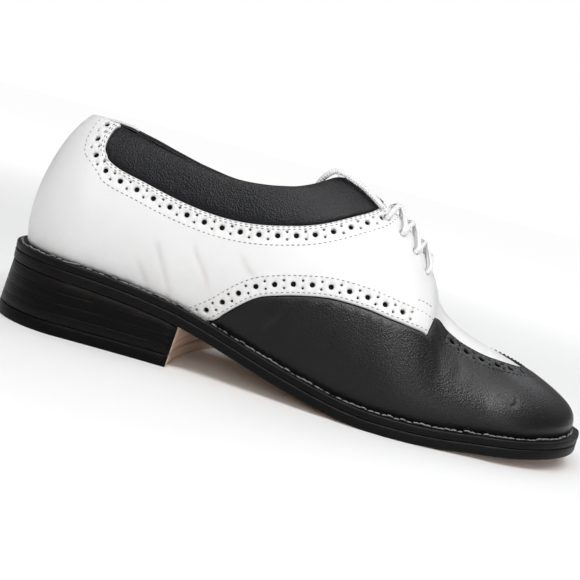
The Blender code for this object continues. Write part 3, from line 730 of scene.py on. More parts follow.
@dataclass(frozen=True)
class ThreadFinish(Finish):
    """Spun or braided thread, with strands read from the tube's own coordinates."""

    strands: float = 1.0
    pitch: float = 1500.0
    depth: float = 0.00004
    shade: Colour = (0.4, 0.4, 0.4, 1.0)
    shade_share: float = 0.6

    def make(self, effects: EffectLibrary) -> bpy.types.Material:
        """Build the material."""
        made, nodes, shader, position = self.open()
        place = nodes.add("UVMap", uv_map="lay").outputs["UV"]
        twist = nodes.group(effects.trees[Effect.TWIST], Place=place, Strands=self.strands,
                            Pitch=self.pitch)
        soft = nodes.span(nodes.noise(position, 350.0, 3.0), 0.35, 0.75)
        amount = nodes.times(twist.outputs["Shade"], self.shade_share)
        amount = nodes.math("MAXIMUM", amount, nodes.times(soft, self.shade_share * 0.4))
        nodes.put(shader.inputs["Base Color"], nodes.blend(amount, self.colour, self.shade))
        fuzz = nodes.noise(position, 2600.0, 3.0, 0.7)
        coarse = self.bump(nodes, shader, twist.outputs["Height"], self.depth)
        self.bump(nodes, shader, fuzz, 0.00008, coarse)
        return made


@dataclass(frozen=True)
class Finishes:
    """Every finish of the shoe, made once and handed out by field name."""

    white: Finish = LeatherFinish(
        "white_leather_finish", "white_leather", (0.775, 0.773, 0.772, 1.0), 0.44, 0.4, 0.05, 0.4,
        pebble=0.35, grain_depth=0.000030, tone=(0.72, 0.716, 0.720, 1.0), tone_share=0.45,
        # soil: handling patches, and painted shade that darkens the white towards the sole.
        soil_and_shade=(0.55, 0.51, 0.49, 1.0), soil_and_shade_share=0.15, soil_and_shade_low=0.034, soil_and_shade_high=0.062,
        # fold: painted shade in the crease troughs.
        edge=(0.42, 0.40, 0.37, 1.0), edge_share=0.35, fold=(0.56, 0.53, 0.52, 1.0))
    black: Finish = LeatherFinish(
        "black_leather_finish", "black_leather", (0.0026, 0.0026, 0.0031, 1.0), 0.33, 0.24,
        grain_depth=0.00013, tone=(0.0045, 0.0048, 0.0064, 1.0), tone_share=0.6,
        soil_and_shade=(0.03, 0.028, 0.026, 1.0), soil_and_shade_share=0.10, soil_and_shade_low=0.012, soil_and_shade_high=0.03,
        edge=(0.03, 0.029, 0.028, 1.0), edge_share=0.5, fold=(0.016, 0.016, 0.017, 1.0))
    # The black grain's edge colour is a painted highlight along the collar's edges as well as lighter edge
    # wear.
    grain: Finish = LeatherFinish(
        "black_grain_finish", "black_grain_leather", (0.0028, 0.0028, 0.0036, 1.0), 0.34, 0.11,
        cells=1400.0, grain_depth=0.00016, tone=(0.0060, 0.0063, 0.0090, 1.0), tone_share=0.6,
        soil_and_shade=(0.02, 0.02, 0.02, 1.0), soil_and_shade_share=0.05, edge=(0.05, 0.05, 0.055, 1.0), edge_share=0.4,
        fold=(0.03, 0.03, 0.03, 1.0))
    lining: Finish = LeatherFinish(
        "lining_finish", "tan_leather", (0.52, 0.38, 0.26, 1.0), 0.62, 0.3,
        pebble=0.3, grain_depth=0.00004, tone=(0.42, 0.29, 0.19, 1.0), tone_share=0.5,
        soil_and_shade=(0.22, 0.15, 0.10, 1.0), soil_and_shade_share=0.5, edge=(0.3, 0.2, 0.13, 1.0), edge_share=0.3)
    # The dark backing on the shell's outside is painted shade in the gaps between panels, and the backing
    # seen through the holes.
    backing: Finish = LeatherFinish(
        "backing_finish", "black_leather", (0.012, 0.0115, 0.011, 1.0), 0.8, 0.1,
        cells=1200.0, tone=(0.03, 0.029, 0.028, 1.0), soil_and_shade_share=0.0, edge_share=0.0)
    sole: Finish = SoleFinish(
        "sole_edge_finish", "sole_leather", (0.0020, 0.0019, 0.0020, 1.0), 0.42, 0.10,
        worn=(0.034, 0.030, 0.028, 1.0), worn_share=0.38)
    heel: Finish = SoleFinish(
        "heel_stack_finish", "heel_leather", (0.0016, 0.0015, 0.0016, 1.0), 0.40, 0.09,
        worn=(0.030, 0.024, 0.021, 1.0), worn_share=0.30, threshold=0.62,
        line=(0.002, 0.002, 0.002, 1.0), line_share=0.5)
    # The breast's tan is far paler than the sole bottom's: painted light, standing in for light that the
    # lamps don't bring to the breast.
    breast: Finish = SoleFinish(
        "heel_breast_painted_light_finish", "tan_leather", (0.84, 0.62, 0.48, 1.0), 0.6, 0.3,
        worn=(0.42, 0.26, 0.18, 1.0), worn_share=0.35, threshold=0.5,
        line=(0.24, 0.15, 0.10, 1.0), line_share=0.6, fibre_share=0.8)
    bottom: Finish = SoleFinish(
        "sole_bottom_finish", "tan_leather", (0.46, 0.30, 0.19, 1.0), 0.55, 0.35,
        worn=(0.16, 0.12, 0.09, 1.0), worn_share=0.8, threshold=0.42, fibre_share=0.3)
    # The panel thread is white thread coloured grey: painted shade of the needle holes and gaps along the
    # stitch lines.
    thread: Finish = ThreadFinish(
        "panel_thread_painted_shade_finish", "white_lace", (0.24, 0.24, 0.25, 1.0), 0.7, 0.3,
        shade=(0.14, 0.14, 0.14, 1.0))
    dark_thread: Finish = ThreadFinish(
        "black_thread_finish", "black_leather", (0.010, 0.010, 0.012, 1.0), 0.55, 0.2,
        shade=(0.003, 0.003, 0.003, 1.0))
    welt_thread: Finish = ThreadFinish(
        "welt_thread_finish", "white_lace", (0.40, 0.395, 0.39, 1.0), 0.85, 0.1,
        strands=2.0, pitch=700.0, depth=0.00025, shade=(0.012, 0.012, 0.012, 1.0), shade_share=1.0)
    lace: Finish = ThreadFinish(
        "white_lace_finish", "white_lace", (0.86, 0.86, 0.855, 1.0), 0.75, 0.25, sheen=0.25,
        strands=4.0, pitch=330.0, depth=0.00022, shade=(0.62, 0.62, 0.61, 1.0), shade_share=0.5)
    tip: Finish = Finish("lace_tip_finish", "white_lace", (0.86, 0.86, 0.85, 1.0), 0.25, 0.5)

    def material(self, name: str) -> bpy.types.Material:
        """The made material of the finish with this field name."""
        return bpy.data.materials[getattr(self, name).name]

    def make_all(self, effects: EffectLibrary) -> None:
        """Build every material."""
        for name in self.__dataclass_fields__:
            getattr(self, name).make(effects)


FOOT = FootShape()
FINISHES = Finishes()


# Object and mesh helpers
def new_object(name: str, data: Any) -> bpy.types.Object:
    """A new object of the scene that holds the data."""
    made = bpy.data.objects.new(name, data)
    bpy.context.scene.collection.objects.link(made)
    return made


def add_piece(name: str, points: Array, faces: Sequence[Sequence[int]], finishes: Sequence[str],
              nodes: Sequence[str] = (), indices: Sequence[int] | None = None,
              values: dict[str, Array] | None = None, weld: float = 0.0) -> bpy.types.Object:
    """Make a mesh piece that rides on the shoe's one body.

    Args:
        name: The piece's name.
        points: Corners in the row frame.
        faces: Corner numbers of each face.
        finishes: Field names of the piece's finishes, the main one first.
        nodes: CAD nodes that the piece stands for.
        indices: Number of the finish of each face.
        values: Named values for the corners, from 0 to 1.
        weld: Corners closer than this are joined.

    Returns:
        The new object.
    """
    mesh = bpy.data.meshes.new(name)
    mesh.from_pydata([tuple(map(float, p)) for p in points], [], [tuple(map(int, f)) for f in faces])
    for finish in finishes:
        mesh.materials.append(FINISHES.material(finish))
    if indices is not None:
        mesh.polygons.foreach_set("material_index", np.asarray(indices, np.int32))
    for key, numbers in (values or {}).items():
        layer = mesh.attributes.new(key, "FLOAT", "POINT")
        layer.data.foreach_set("value", np.asarray(numbers, np.float32))
    work = bmesh.new()
    work.from_mesh(mesh)
    if weld:
        bmesh.ops.remove_doubles(work, verts=work.verts, dist=weld)
        bmesh.ops.dissolve_degenerate(work, edges=work.edges, dist=weld)
    bmesh.ops.recalc_face_normals(work, faces=work.faces)
    work.to_mesh(mesh)
    work.free()
    mesh.shade_smooth()
    made = new_object(name, mesh)
    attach(made, "root")
    getattr(FINISHES, finishes[0]).slot
    if nodes:
        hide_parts(*nodes)
    LOG.info("%s: %d faces", name, len(mesh.polygons))
    return made


def close_sheet(faces: Sequence[Sequence[int]], count: int) -> list[tuple[int, ...]]:
    """Faces of a sheet, of its copy count corners later, and of the strip joining their borders."""
    uses: dict[frozenset[int], list[tuple[int, int]]] = {}
    for face in faces:
        for a, b in zip(face, list(face[1:]) + [face[0]]):
            uses.setdefault(frozenset((a, b)), []).append((a, b))
    closed = [tuple(face) for face in faces]
    closed += [tuple(v + count for v in reversed(face)) for face in faces]
    for found in uses.values():
        if len(found) == 1:
            a, b = found[0]
            closed.append((b, a, a + count, b + count))
    return closed


def grid_faces(rows: int, columns: int, closed: bool = False) -> list[tuple[int, int, int, int]]:
    """Quads of a grid of rows by columns corners, joined end to end where closed."""
    faces = []
    last = columns if closed else columns - 1
    for i in range(rows - 1):
        for k in range(last):
            a = i * columns + k
            b = i * columns + (k + 1) % columns
            faces.append((a, b, b + columns, a + columns))
    return faces


def rod_faces(rings: int, sides: int, start: int) -> list[tuple[int, ...]]:
    """Faces of a rod of rings of corners with its two ends, start being its first corner's number."""
    faces = [tuple(start + v for v in face) for face in grid_faces(rings, sides, True)]
    faces.append(tuple(start + k for k in reversed(range(sides))))
    faces.append(tuple(start + (rings - 1) * sides + k for k in range(sides)))
    return faces


def run(points: Array) -> Array:
    """Distance along a line of each of its points from the first one."""
    return np.concatenate([[0.0], np.cumsum(np.linalg.norm(np.diff(points, axis=0), axis=1))])


def read_at(line: Array, along: Array, at: Array) -> Array:
    """Points of a line at some distances, along being the distance of each point that it has."""
    return np.stack([np.interp(at, along, column) for column in line.T], -1)


def dense(rows: Array, count: int) -> Array:
    """A table of (station, height) points as count smooth points along its length."""
    step = np.linalg.norm(np.diff(rows, axis=0) * FLAT, axis=1)
    along = np.concatenate([[0.0], np.cumsum(step)])
    at = np.linspace(0.0, along[-1], count)
    return curve(rows, along, at)


# The panels' edges as close points.
COLLAR_LINE = dense(COLLAR_EDGE, 220)
WING_LINE = dense(WING_EDGE, 150)
FRONT_LINE = dense(QUARTER_FRONT, 40)
TOP_LINE = dense(WING_TOP, 110)


def step_in(line: Array, distance: float) -> Array:
    """A line of (q, t) points moved sideways on the foot shape.

    Args:
        line: The points, in order.
        distance: Metres to the line's left, seen from outside.

    Returns:
        The moved points.
    """
    ahead = np.concatenate([line[1:], line[-1:]])
    behind = np.concatenate([line[:1], line[:-1]])
    along, up = FOOT.slopes(*line.T)
    change = ahead - behind
    tangent = unit(along * change[:, :1] + up * change[:, 1:])
    left = np.cross(unit(np.cross(along, up)), tangent) * distance
    return line + flat_shift(along, up, left)


def parallel(line: Array, distance: float) -> Array:
    """A line beside another one, without the loops that tight bends would give.

    Args:
        line: The points, in order.
        distance: Metres to the line's left, seen from outside.

    Returns:
        The points of the new line that really lie that far away.
    """
    moved = step_in(line, distance)
    base = FOOT.point(*line.T)
    found = FOOT.point(*moved.T)
    away = np.linalg.norm(found[:, None] - base[None], axis=-1).min(1) / abs(distance)
    moved = line + (moved - line) / np.maximum(away, 1.0)[:, None]
    return without_loop(moved[away > 0.94])


def without_loop(line: Array) -> Array:
    """A flat line without the widest loop that it makes across itself."""
    start, step = line[:-1], np.diff(line, axis=0)
    gap = start[None] - start[:, None]
    turn = step[:, None, 0] * step[None, :, 1] - step[:, None, 1] * step[None, :, 0]
    turn = np.where(turn == 0.0, np.inf, turn)
    own = (gap[..., 0] * step[None, :, 1] - gap[..., 1] * step[None, :, 0]) / turn
    other = (gap[..., 0] * step[:, None, 1] - gap[..., 1] * step[:, None, 0]) / turn
    crosses = (own >= 0.0) & (own <= 1.0) & (other >= 0.0) & (other <= 1.0)
    order = np.arange(len(step))
    first, last = divmod(int(np.where(crosses, order[None] - order[:, None], 0).argmax()), len(order))
    return np.concatenate([line[:first + 1], line[last + 1:]]) if last - first > 2 else line


def flat_shift(along: Array, up: Array, move: Array) -> Array:
    """Change of (q, t) that gives a move along the foot shape."""
    e = (along * along).sum(-1)
    f = (along * up).sum(-1)
    g = (up * up).sum(-1)
    a = (move * along).sum(-1)
    b = (move * up).sum(-1)
    det = e * g - f * f
    return np.stack([(a * g - b * f) / det, (b * e - a * f) / det], -1)


def resample(line: Array, spacing: float, offset: float = 0.0) -> Array:
    """Points of a (q, t) line at even distances on the foot shape.

    Args:
        line: The points, close together.
        spacing: Distance between the new points, in metres.
        offset: Distance of the first one from the line's start.

    Returns:
        The new points.
    """
    along = run(FOOT.point(*line.T))
    return read_at(line, along, np.arange(offset, along[-1], spacing))


def both_sides(half: Array) -> Array:
    """Lateral stations up to the toe, carried on as q over the medial side to the first one's mirror."""
    return np.concatenate([half, ROUND - half[::-1][1:]])


def inside(points: Array, polygon: Array) -> Array:
    """Which flat points lie in a polygon."""
    found = np.zeros(len(points), bool)
    for (x0, y0), (x1, y1) in zip(polygon, np.roll(polygon, -1, axis=0)):
        if y0 == y1:
            continue
        crosses = (y0 > points[:, 1]) != (y1 > points[:, 1])
        found ^= crosses & (points[:, 0] < (x1 - x0) * (points[:, 1] - y0) / (y1 - y0) + x0)
    return found


def clearance(points: Array, polygon: Array) -> Array:
    """Distance of flat points from a polygon's border."""
    best = np.full(len(points), 1e9)
    for a, b in zip(polygon, np.roll(polygon, -1, axis=0)):
        edge = b - a
        size = max(float(edge @ edge), 1e-18)
        share = np.clip(((points - a) @ edge) / size, 0.0, 1.0)
        best = np.minimum(best, np.linalg.norm(a + share[:, None] * edge - points, axis=1))
    return best


@dataclass
class Crease:
    """A soft fold in leather: points in (q, t), half width and depth in metres."""

    path: Sequence[tuple[float, float]]
    width: float = 0.0011
    depth: float = 0.00035

    def line(self) -> Array:
        """The crease as close points in (q, t)."""
        path = np.array(self.path, float)
        return curve(path, np.arange(len(path)), np.linspace(0.0, len(path) - 1.0, 24))

    def seeds(self) -> Array:
        """Extra mesh points beside the crease."""
        line = resample(self.line(), 0.0014)
        if len(line) < 2:
            return line
        shifts = (-3.0, -1.9, -1.1, -0.5, 0.0, 0.5, 1.1, 1.9, 3.0)
        return np.concatenate([step_in(line, self.width * k) for k in shifts])

    def read(self, q: Array, t: Array) -> tuple[Array, Array]:
        """Relief and fold mask of the crease.

        Args:
            q: Stations of the mesh points.
            t: Height shares of the mesh points.

        Returns:
            Change of the distance in metres, and a mask from 0 to 1.
        """
        line = self.line()
        along, up = FOOT.slopes(*line.T)
        wide = np.linalg.norm(along, axis=-1).mean()
        high = np.linalg.norm(up, axis=-1).mean()
        best = np.full(len(q), 1e9)
        fade = np.zeros(len(q))
        for i, (a, b) in enumerate(line):
            away = np.hypot((q - a) * wide, (t - b) * high)
            closer = away < best
            best = np.where(closer, away, best)
            fade = np.where(closer, math.sin(math.pi * (i + 0.5) / len(line)) ** 0.6, fade)
        trough = np.exp(-(best / self.width) ** 2)
        ridge = np.exp(-((best - 2.1 * self.width) / (1.1 * self.width)) ** 2)
        return self.depth * fade * (0.35 * ridge - trough), fade * np.exp(-(best / (0.8 * self.width)) ** 2)


@dataclass
class Hole:
    """A punched hole: its centre in (q, t) and its radius in metres."""

    centre: tuple[float, float]
    radius: float
    count: int = 12

    def ring(self, grow: float) -> Array:
        """Points of (q, t) on a circle grow metres wider than the hole."""
        q, t = self.centre
        turn = np.linspace(0.0, math.tau, self.count, endpoint=False)
        along, up = FOOT.slopes(np.array([q]), np.array([t]))
        first = unit(along[0])
        second = np.cross(unit(np.cross(along[0], up[0])), first)
        radius = self.radius + grow
        move = radius * (np.cos(turn)[:, None] * first + np.sin(turn)[:, None] * second)
        along, up = np.repeat(along, len(turn), 0), np.repeat(up, len(turn), 0)
        return np.array([q, t]) + flat_shift(along, up, move)


@dataclass
class LeatherPanel:
    """A cut panel of leather on the foot shape, with rolled edges, holes and folds."""

    name: str
    border: Array
    finish: str
    thickness: float
    nodes: tuple[str, ...]
    inner: float = 0.0001
    lift: float = 0.0005
    holes: list[Hole] = field(default_factory=list)
    creases: list[Crease] = field(default_factory=list)
    roll: float = 0.0007
    mesh_step: float = 0.0024
    swell: float = 0.00012

    def seeds(self, flat: Array) -> Array:
        """Inner mesh points, in flat coordinates.

        Args:
            flat: The border in flat coordinates.

        Returns:
            Points well inside the border and clear of the holes.
        """
        low, high = flat.min(0), flat.max(0)
        columns = np.arange(low[0], high[0], self.mesh_step)
        points = []
        for i, u in enumerate(columns):
            v = np.arange(low[1] + self.mesh_step * (0.5 if i % 2 else 0.0), high[1], self.mesh_step)
            points.append(np.stack([np.full(len(v), u), v], -1))
        grid = np.concatenate(points)
        special = [c.seeds() * FLAT for c in self.creases]
        if special:
            extra = np.concatenate(special)
            near = np.array([np.linalg.norm(extra - p, axis=1).min() for p in grid])
            grid = np.concatenate([grid[near > 0.0010], extra])
        keep = inside(grid, flat)
        grid = grid[keep]
        grid = grid[clearance(grid, flat) > self.roll * 2.2]
        for hole in self.holes:
            centre = np.array(hole.centre) * FLAT
            grid = grid[np.linalg.norm(grid - centre, axis=1) > hole.radius * 1.5 + 0.0006]
        return grid

    def build(self) -> bpy.types.Object:
        """Cut the panel and give it its thickness, edges and folds."""
        flat = self.border * FLAT
        closed = np.concatenate([self.border[-1:], self.border, self.border[:1]])
        rings = [(step_in(closed, self.roll * k)[1:-1] * FLAT, k) for k, _, _ in EDGE_RINGS[1:]]
        points = [flat]
        level = [np.zeros(len(flat))]
        loops = [list(range(len(flat)))]
        for ring, k in rings:
            ring = ring[inside(ring, flat)]
            ring = ring[clearance(ring, flat) > 0.45 * self.roll * k]
            points.append(ring)
            level.append(np.full(len(ring), k))
        total = sum(len(p) for p in points)
        for hole in self.holes:
            for k, grow, _ in EDGE_RINGS:
                ring = hole.ring(grow) * FLAT
                if k == 0.0:
                    loops.append(list(range(total, total + len(ring))))
                points.append(ring)
                level.append(np.full(len(ring), k))
                total += len(ring)
        grid = self.seeds(flat)
        points.append(grid)
        level.append(np.full(len(grid), INNER))
        seeds = np.concatenate(points)
        levels = np.concatenate(level)
        found = delaunay_2d_cdt([Vector(p) for p in seeds], [], loops, 1, 1e-7)
        flat_points = np.array([tuple(v) for v in found[0]])
        share = np.array([min(levels[i] for i in origin) if origin else INNER for origin in found[3]])
        faces = [list(f) for f, origin in zip(found[2], found[5]) if origin and max(origin) == 0]
        used = sorted({v for face in faces for v in face})
        number = {v: i for i, v in enumerate(used)}
        faces = [[number[v] for v in face] for face in faces]
        q, t = (flat_points[used] / FLAT).T
        share = share[used]
        relief = self.swell * np.sin(q * 5.1 + 1.0) * np.sin(t * 14.0 + q * 2.3)
        fold = np.zeros(len(q))
        for crease in self.creases:
            change, mask = crease.read(q, t)
            relief += change
            fold = np.maximum(fold, mask)
        edge = np.sqrt(np.clip(1.0 - (1.0 - np.minimum(share, 1.0)) ** 2, 0.0, 1.0))
        depth = self.thickness + self.lift - self.inner
        outer = self.inner + depth * (0.55 + 0.45 * edge) + relief * (share > 1.0)
        top = FOOT.place(q, t, outer)
        under = FOOT.place(q, t, self.inner)
        rim = np.select([share < k + 0.1 for k, _, _ in EDGE_RINGS], [mask for _, _, mask in EDGE_RINGS], 0.0)
        return add_piece(self.name, np.concatenate([top, under]), close_sheet(faces, len(used)),
                         [self.finish], self.nodes,
                         values={"rim": np.tile(rim, 2), "fold": np.tile(fold, 2)})


@dataclass
class Punching:
    """A row of large holes with pairs of small ones between them, as on a brogue."""

    large: float = 0.00125
    small: float = 0.00054
    pitch: float = 0.0088
    spread: float = 0.0018

    def along(self, line: Array, keep: Callable[[float, float], bool], shift: float = 0.0) -> list[Hole]:
        """Holes along a line.

        Args:
            line: The row's middle, as close (q, t) points.
            keep: Says whether a hole may lie at (q, t).
            shift: How far the row moves on along the line, in metres.

        Returns:
            The holes that may be punched.
        """
        holes = [Hole((q, t), self.large, 14) for q, t in resample(line, self.pitch, self.pitch / 2 + shift)]
        between = resample(line, self.pitch, self.pitch + shift)
        for k in (-1.0, 1.0):
            if len(between) > 1:
                holes += [Hole((q, t), self.small, 8) for q, t in step_in(between, self.spread * k)]
        return [hole for hole in holes if keep(*hole.centre)]


@dataclass
class StitchRow:
    """Short stitches that lie end to end on leather along a line."""

    line: Array
    lift: float
    length: float = 0.0015
    pitch: float = 0.0025
    radius: float = 0.00024
    sides: int = 5

    def mesh(self, start: int) -> tuple[list[Array], list[tuple[int, ...]], list[tuple[float, float]]]:
        """Capsule meshes of the stitches.

        Args:
            start: Number of the row's first corner.

        Returns:
            Corners, faces, and each corner's place along and around its stitch.
        """
        spots = resample(self.line, self.pitch, self.pitch / 2)
        ahead = resample(self.line, self.pitch, self.pitch / 2 + 0.0003)[:len(spots)]
        spots = spots[:len(ahead)]
        if not len(spots):
            return [], [], []
        centre = FOOT.place(*spots.T, self.lift)
        tangent = unit(FOOT.place(*ahead.T, self.lift) - centre)
        up = FOOT.normal(*spots.T)
        across = unit(np.cross(tangent, up))
        return capsules(centre, tangent, up, across, self.length, self.radius, self.sides, start)


def capsules(centre: Array, tangent: Array, up: Array, across: Array, length: float, radius: float,
             sides: int, start: int) -> tuple[list[Array], list[tuple[int, ...]], list[tuple[float, float]]]:
    """Low arched stitches that dip into what they lie on.

    Args:
        centre: Middle of each stitch.
        tangent: Direction of each stitch.
        up: Direction out of the surface.
        across: Direction across each stitch.
        length: Length of a stitch.
        radius: Radius of the thread.
        sides: Number of sides of the thread.
        start: Number of the first corner.

    Returns:
        Corners, faces, and each corner's place along and around its stitch.
    """
    points: list[Array] = []
    faces: list[tuple[int, ...]] = []
    places: list[tuple[float, float]] = []
    for p, way, out, side in zip(centre, tangent, up, across):
        faces += rod_faces(len(STITCH_SHAPE), sides, start + len(points))
        for share, size, rise in STITCH_SHAPE:
            for k in range(sides):
                turn = math.tau * k / sides
                ring = (math.cos(turn) * side + math.sin(turn) * out) * radius * size
                points.append(p + way * share * length + out * rise * radius + ring)
                places.append((share * length, k / sides))
    return points, faces, places


def set_lay(piece: bpy.types.Object, places: Sequence[tuple[float, float]]) -> None:
    """Write each corner's place along and around a thread to the piece's coordinates."""
    layer = piece.data.uv_layers.new(name="lay")
    corner = np.zeros(len(piece.data.loops), np.int32)
    piece.data.loops.foreach_get("vertex_index", corner)
    numbers = np.asarray(places, np.float32)[corner]
    layer.data.foreach_set("uv", numbers.ravel())


def add_stitches(name: str, rows: Sequence[StitchRow], finish: str) -> bpy.types.Object:
    """Join rows of stitches in one piece."""
    points: list[Array] = []
    faces: list[tuple[int, ...]] = []
    places: list[tuple[float, float]] = []
    for row in rows:
        more = row.mesh(len(points))
        points += more[0]
        faces += more[1]
        places += more[2]
    piece = add_piece(name, np.array(points), faces, [finish])
    set_lay(piece, places)
    return piece


def clip(line: Array, keep: Callable[[Array, Array], Array]) -> Array:
    """The points of a line for which keep holds."""
    return line[keep(*line.T)]


@dataclass
class Upper:
    """The upper's shell, vamp, quarters, collars, wing tip and tongue, and their stitches."""

    wall: float = 0.0018
    layer_gap: float = 0.0005
    half_gap: float = 0.000225
    wing_thickness: float = 0.0012
    quarter_thickness: float = 0.0016
    collar_thickness: float = 0.0014
    tongue_thickness: float = 0.0022
    tongue_gap: float = 0.0005
    tongue_top: float = 5.24
    tongue_foot: float = 7.14
    tongue_edge: float = 0.80
    slot_start: float = 5.93
    back_seam: float = 0.006
    quarter_foot: float = 4.02
    far_dip: float = 0.030
    far_black: float = 1.60
    vamp_lap: float = 0.018
    dip_start: float = 7.2
    long_start: float = 0.084
    long_foot: float = 0.62
    low_shift: float = -0.0033
    rim_round: float = 0.0035
    collar_holes: float = -0.0050
    wing_holes: float = 0.0054
    top_holes: float = -0.0048
    collar_rows: tuple[float, ...] = (-0.0010, -0.0021, -0.0096)
    wing_rows: tuple[float, ...] = (0.0016, 0.0094)
    top_rows: tuple[float, ...] = (-0.0013, -0.0086)
    facing_row: float = -0.0019
    collar_span: tuple[float, float] = (0.6, 5.97)
    top_span: tuple[float, float] = (7.26, 12.74)
    wing_end: float = 6.90
    rows_start: float = 0.25
    edge_room: float = 0.012
    foot_room: float = 0.020
    rim_room: float = 0.022
    turned_rows: int = 4
    eyelet_radius: float = 0.0017
    punching: Punching = field(default_factory=Punching)

    def quarter_border(self, side: Side) -> Array:
        """Border of a quarter in (q, t), counter-clockwise seen from outside."""
        collar = COLLAR_LINE.copy()
        rim = self.rim_on(side)
        collar[0, 1] = rim(collar[0, 0])
        collar[-1, 1] = rim(collar[-1, 0])
        foot = np.linspace(self.back_seam, self.quarter_foot, 110)
        parts = [
            side.points(foot, 0.0 * foot),
            side.shift(WING_LINE[1:-1], self.half_gap),
            side.shift(FRONT_LINE, self.half_gap),
        ]
        front = np.linspace(6.93, self.slot_start + 0.02, 30)
        parts.append(side.points(front, rim(front)))
        parts.append(side.shift(collar[::-1][1:-1], self.half_gap))
        rear = np.linspace(COLLAR_EDGE[0][0] - 0.02, self.back_seam, 44)
        parts.append(side.points(rear, rim(rear))[:-1])
        back = np.linspace(float(rim(self.back_seam)), 0.0, 50)
        parts.append(side.points(np.full_like(back, self.back_seam), back)[:-1])
        border = np.concatenate(parts)
        return border[::side.step]

    def long_wing_edge(self) -> Array:
        """The wing's lower edge, carried on below the welt so that its rows reach the sole."""
        line = WING_LINE[WING_LINE[:, 1] > self.long_start]
        ahead = (line[0] - line[6]) / np.linalg.norm(line[0] - line[6])
        return np.concatenate([line[0] + ahead * np.linspace(self.long_foot, 0.01, 36)[:, None], line])

    def rim_on(self, side: Side) -> Callable[[Any], Array]:
        """The rim's height share by station on one side."""
        return lambda s: FOOT.rim(side.turn(np.asarray(s, float)))

    def collar_border(self, side: Side) -> Array:
        """Border of a collar panel in (q, t), counter-clockwise seen from outside."""
        top = np.linspace(self.slot_start - 0.02, COLLAR_EDGE[0][0] + 0.02, 110)
        border = np.concatenate([side.shift(COLLAR_LINE[1:-1], self.half_gap),
                                 side.points(top, self.rim_on(side)(top))])
        return border[::side.step]

    def dip(self, s: Array) -> Array:
        """How much lower the wing's top edge runs on the medial side, by station."""
        share = np.clip((s - self.dip_start) / (TOE - self.dip_start), 0.0, 1.0)
        return self.far_dip * np.sin(math.pi * share ** 1.6)

    def wing_border(self) -> Array:
        """Border of the wing tip in (q, t), counter-clockwise seen from outside."""
        low = WING_LINE[1:]
        front = FRONT_LINE[1:]
        front = front[front[:, 1] < WING_TOP[0][1] - 0.01]
        edge = np.concatenate([low, front])
        foot = both_sides(np.linspace(low[0][0] + 0.12, TOE, 150))
        lateral = np.concatenate([step_in(edge, -self.half_gap), TOP_LINE])
        drop = self.dip(TOP_LINE[:, 0])
        far_top = TOP_LINE - np.stack([0.0 * drop, drop], -1)
        medial = Side.MEDIAL.line(edge)
        medial = np.concatenate([step_in(medial, -self.half_gap)[::-1], Side.MEDIAL.line(far_top)[::-1]])
        return np.concatenate([np.stack([foot, 0.0 * foot], -1), medial, lateral[::-1][1:]])

    def whole_top(self) -> Array:
        """The wing's top edge over both sides as drawn, lateral end first."""
        return np.concatenate([TOP_LINE, Side.MEDIAL.line(TOP_LINE)[1:]])

    def eyelets(self, side: Side) -> list[Hole]:
        """The lace holes of one side."""
        return [Hole((side.turn(s), EYELET_HEIGHT), self.eyelet_radius, 18) for s in EYELETS]

    def build_panels(self) -> None:
        """Cut both quarters and collars, and the wing tip."""
        for side in Side:
            self.build_quarter(side)
            collar = LeatherPanel("collar_panel_" + side.word, self.collar_border(side), "grain",
                                  self.collar_thickness, ("collar_" + side.word,), roll=0.0009)
            collar.build()
        self.build_wing()

    def build_quarter(self, side: Side) -> None:
        """Cut a quarter with its two punched bands, lace holes and folds."""
        rim = self.rim_on(side)

        def keep(q: float, t: float) -> bool:
            """Whether a hole lies clear of the quarter's edges and lace holes."""
            s = side.turn(q)
            start, end = self.collar_span
            return start < s < end and self.edge_room < t < float(rim(s)) - self.rim_room

        def keep_low(q: float, t: float) -> bool:
            """Whether a hole of the lower band lies on the quarter."""
            s = side.turn(q)
            return s < self.wing_end and t > self.foot_room

        upper = parallel(side.line(COLLAR_LINE), self.collar_holes)
        lower = parallel(side.line(self.long_wing_edge()), self.wing_holes)
        holes = self.punching.along(upper, keep) + self.punching.along(lower, keep_low, self.low_shift)
        folds = [
            Crease([(3.17, 0.262), (3.23, 0.225), (3.342, 0.148), (3.488, 0.032)], 0.0016, 0.00036),
            Crease([(3.63, 0.300), (3.70, 0.262), (3.854, 0.201), (3.95, 0.150)], 0.0015, 0.00030),
            Crease([(3.03, 0.150), (3.12, 0.090), (3.20, 0.030)], 0.0016, 0.00020),
            Crease([(4.25, 0.330), (4.40, 0.290), (4.55, 0.268)], 0.0018, 0.00016),
        ]
        if side is Side.MEDIAL:
            folds = [Crease([(ROUND - s + 0.12, t * 0.9) for s, t in fold.path], fold.width, fold.depth * 0.3)
                     for fold in folds]
        panel = LeatherPanel("quarter_panel_" + side.word, self.quarter_border(side), "white",
                             self.quarter_thickness, ("quarter_" + side.word,),
                             holes=holes + self.eyelets(side), creases=folds, roll=0.0008)
        panel.build()

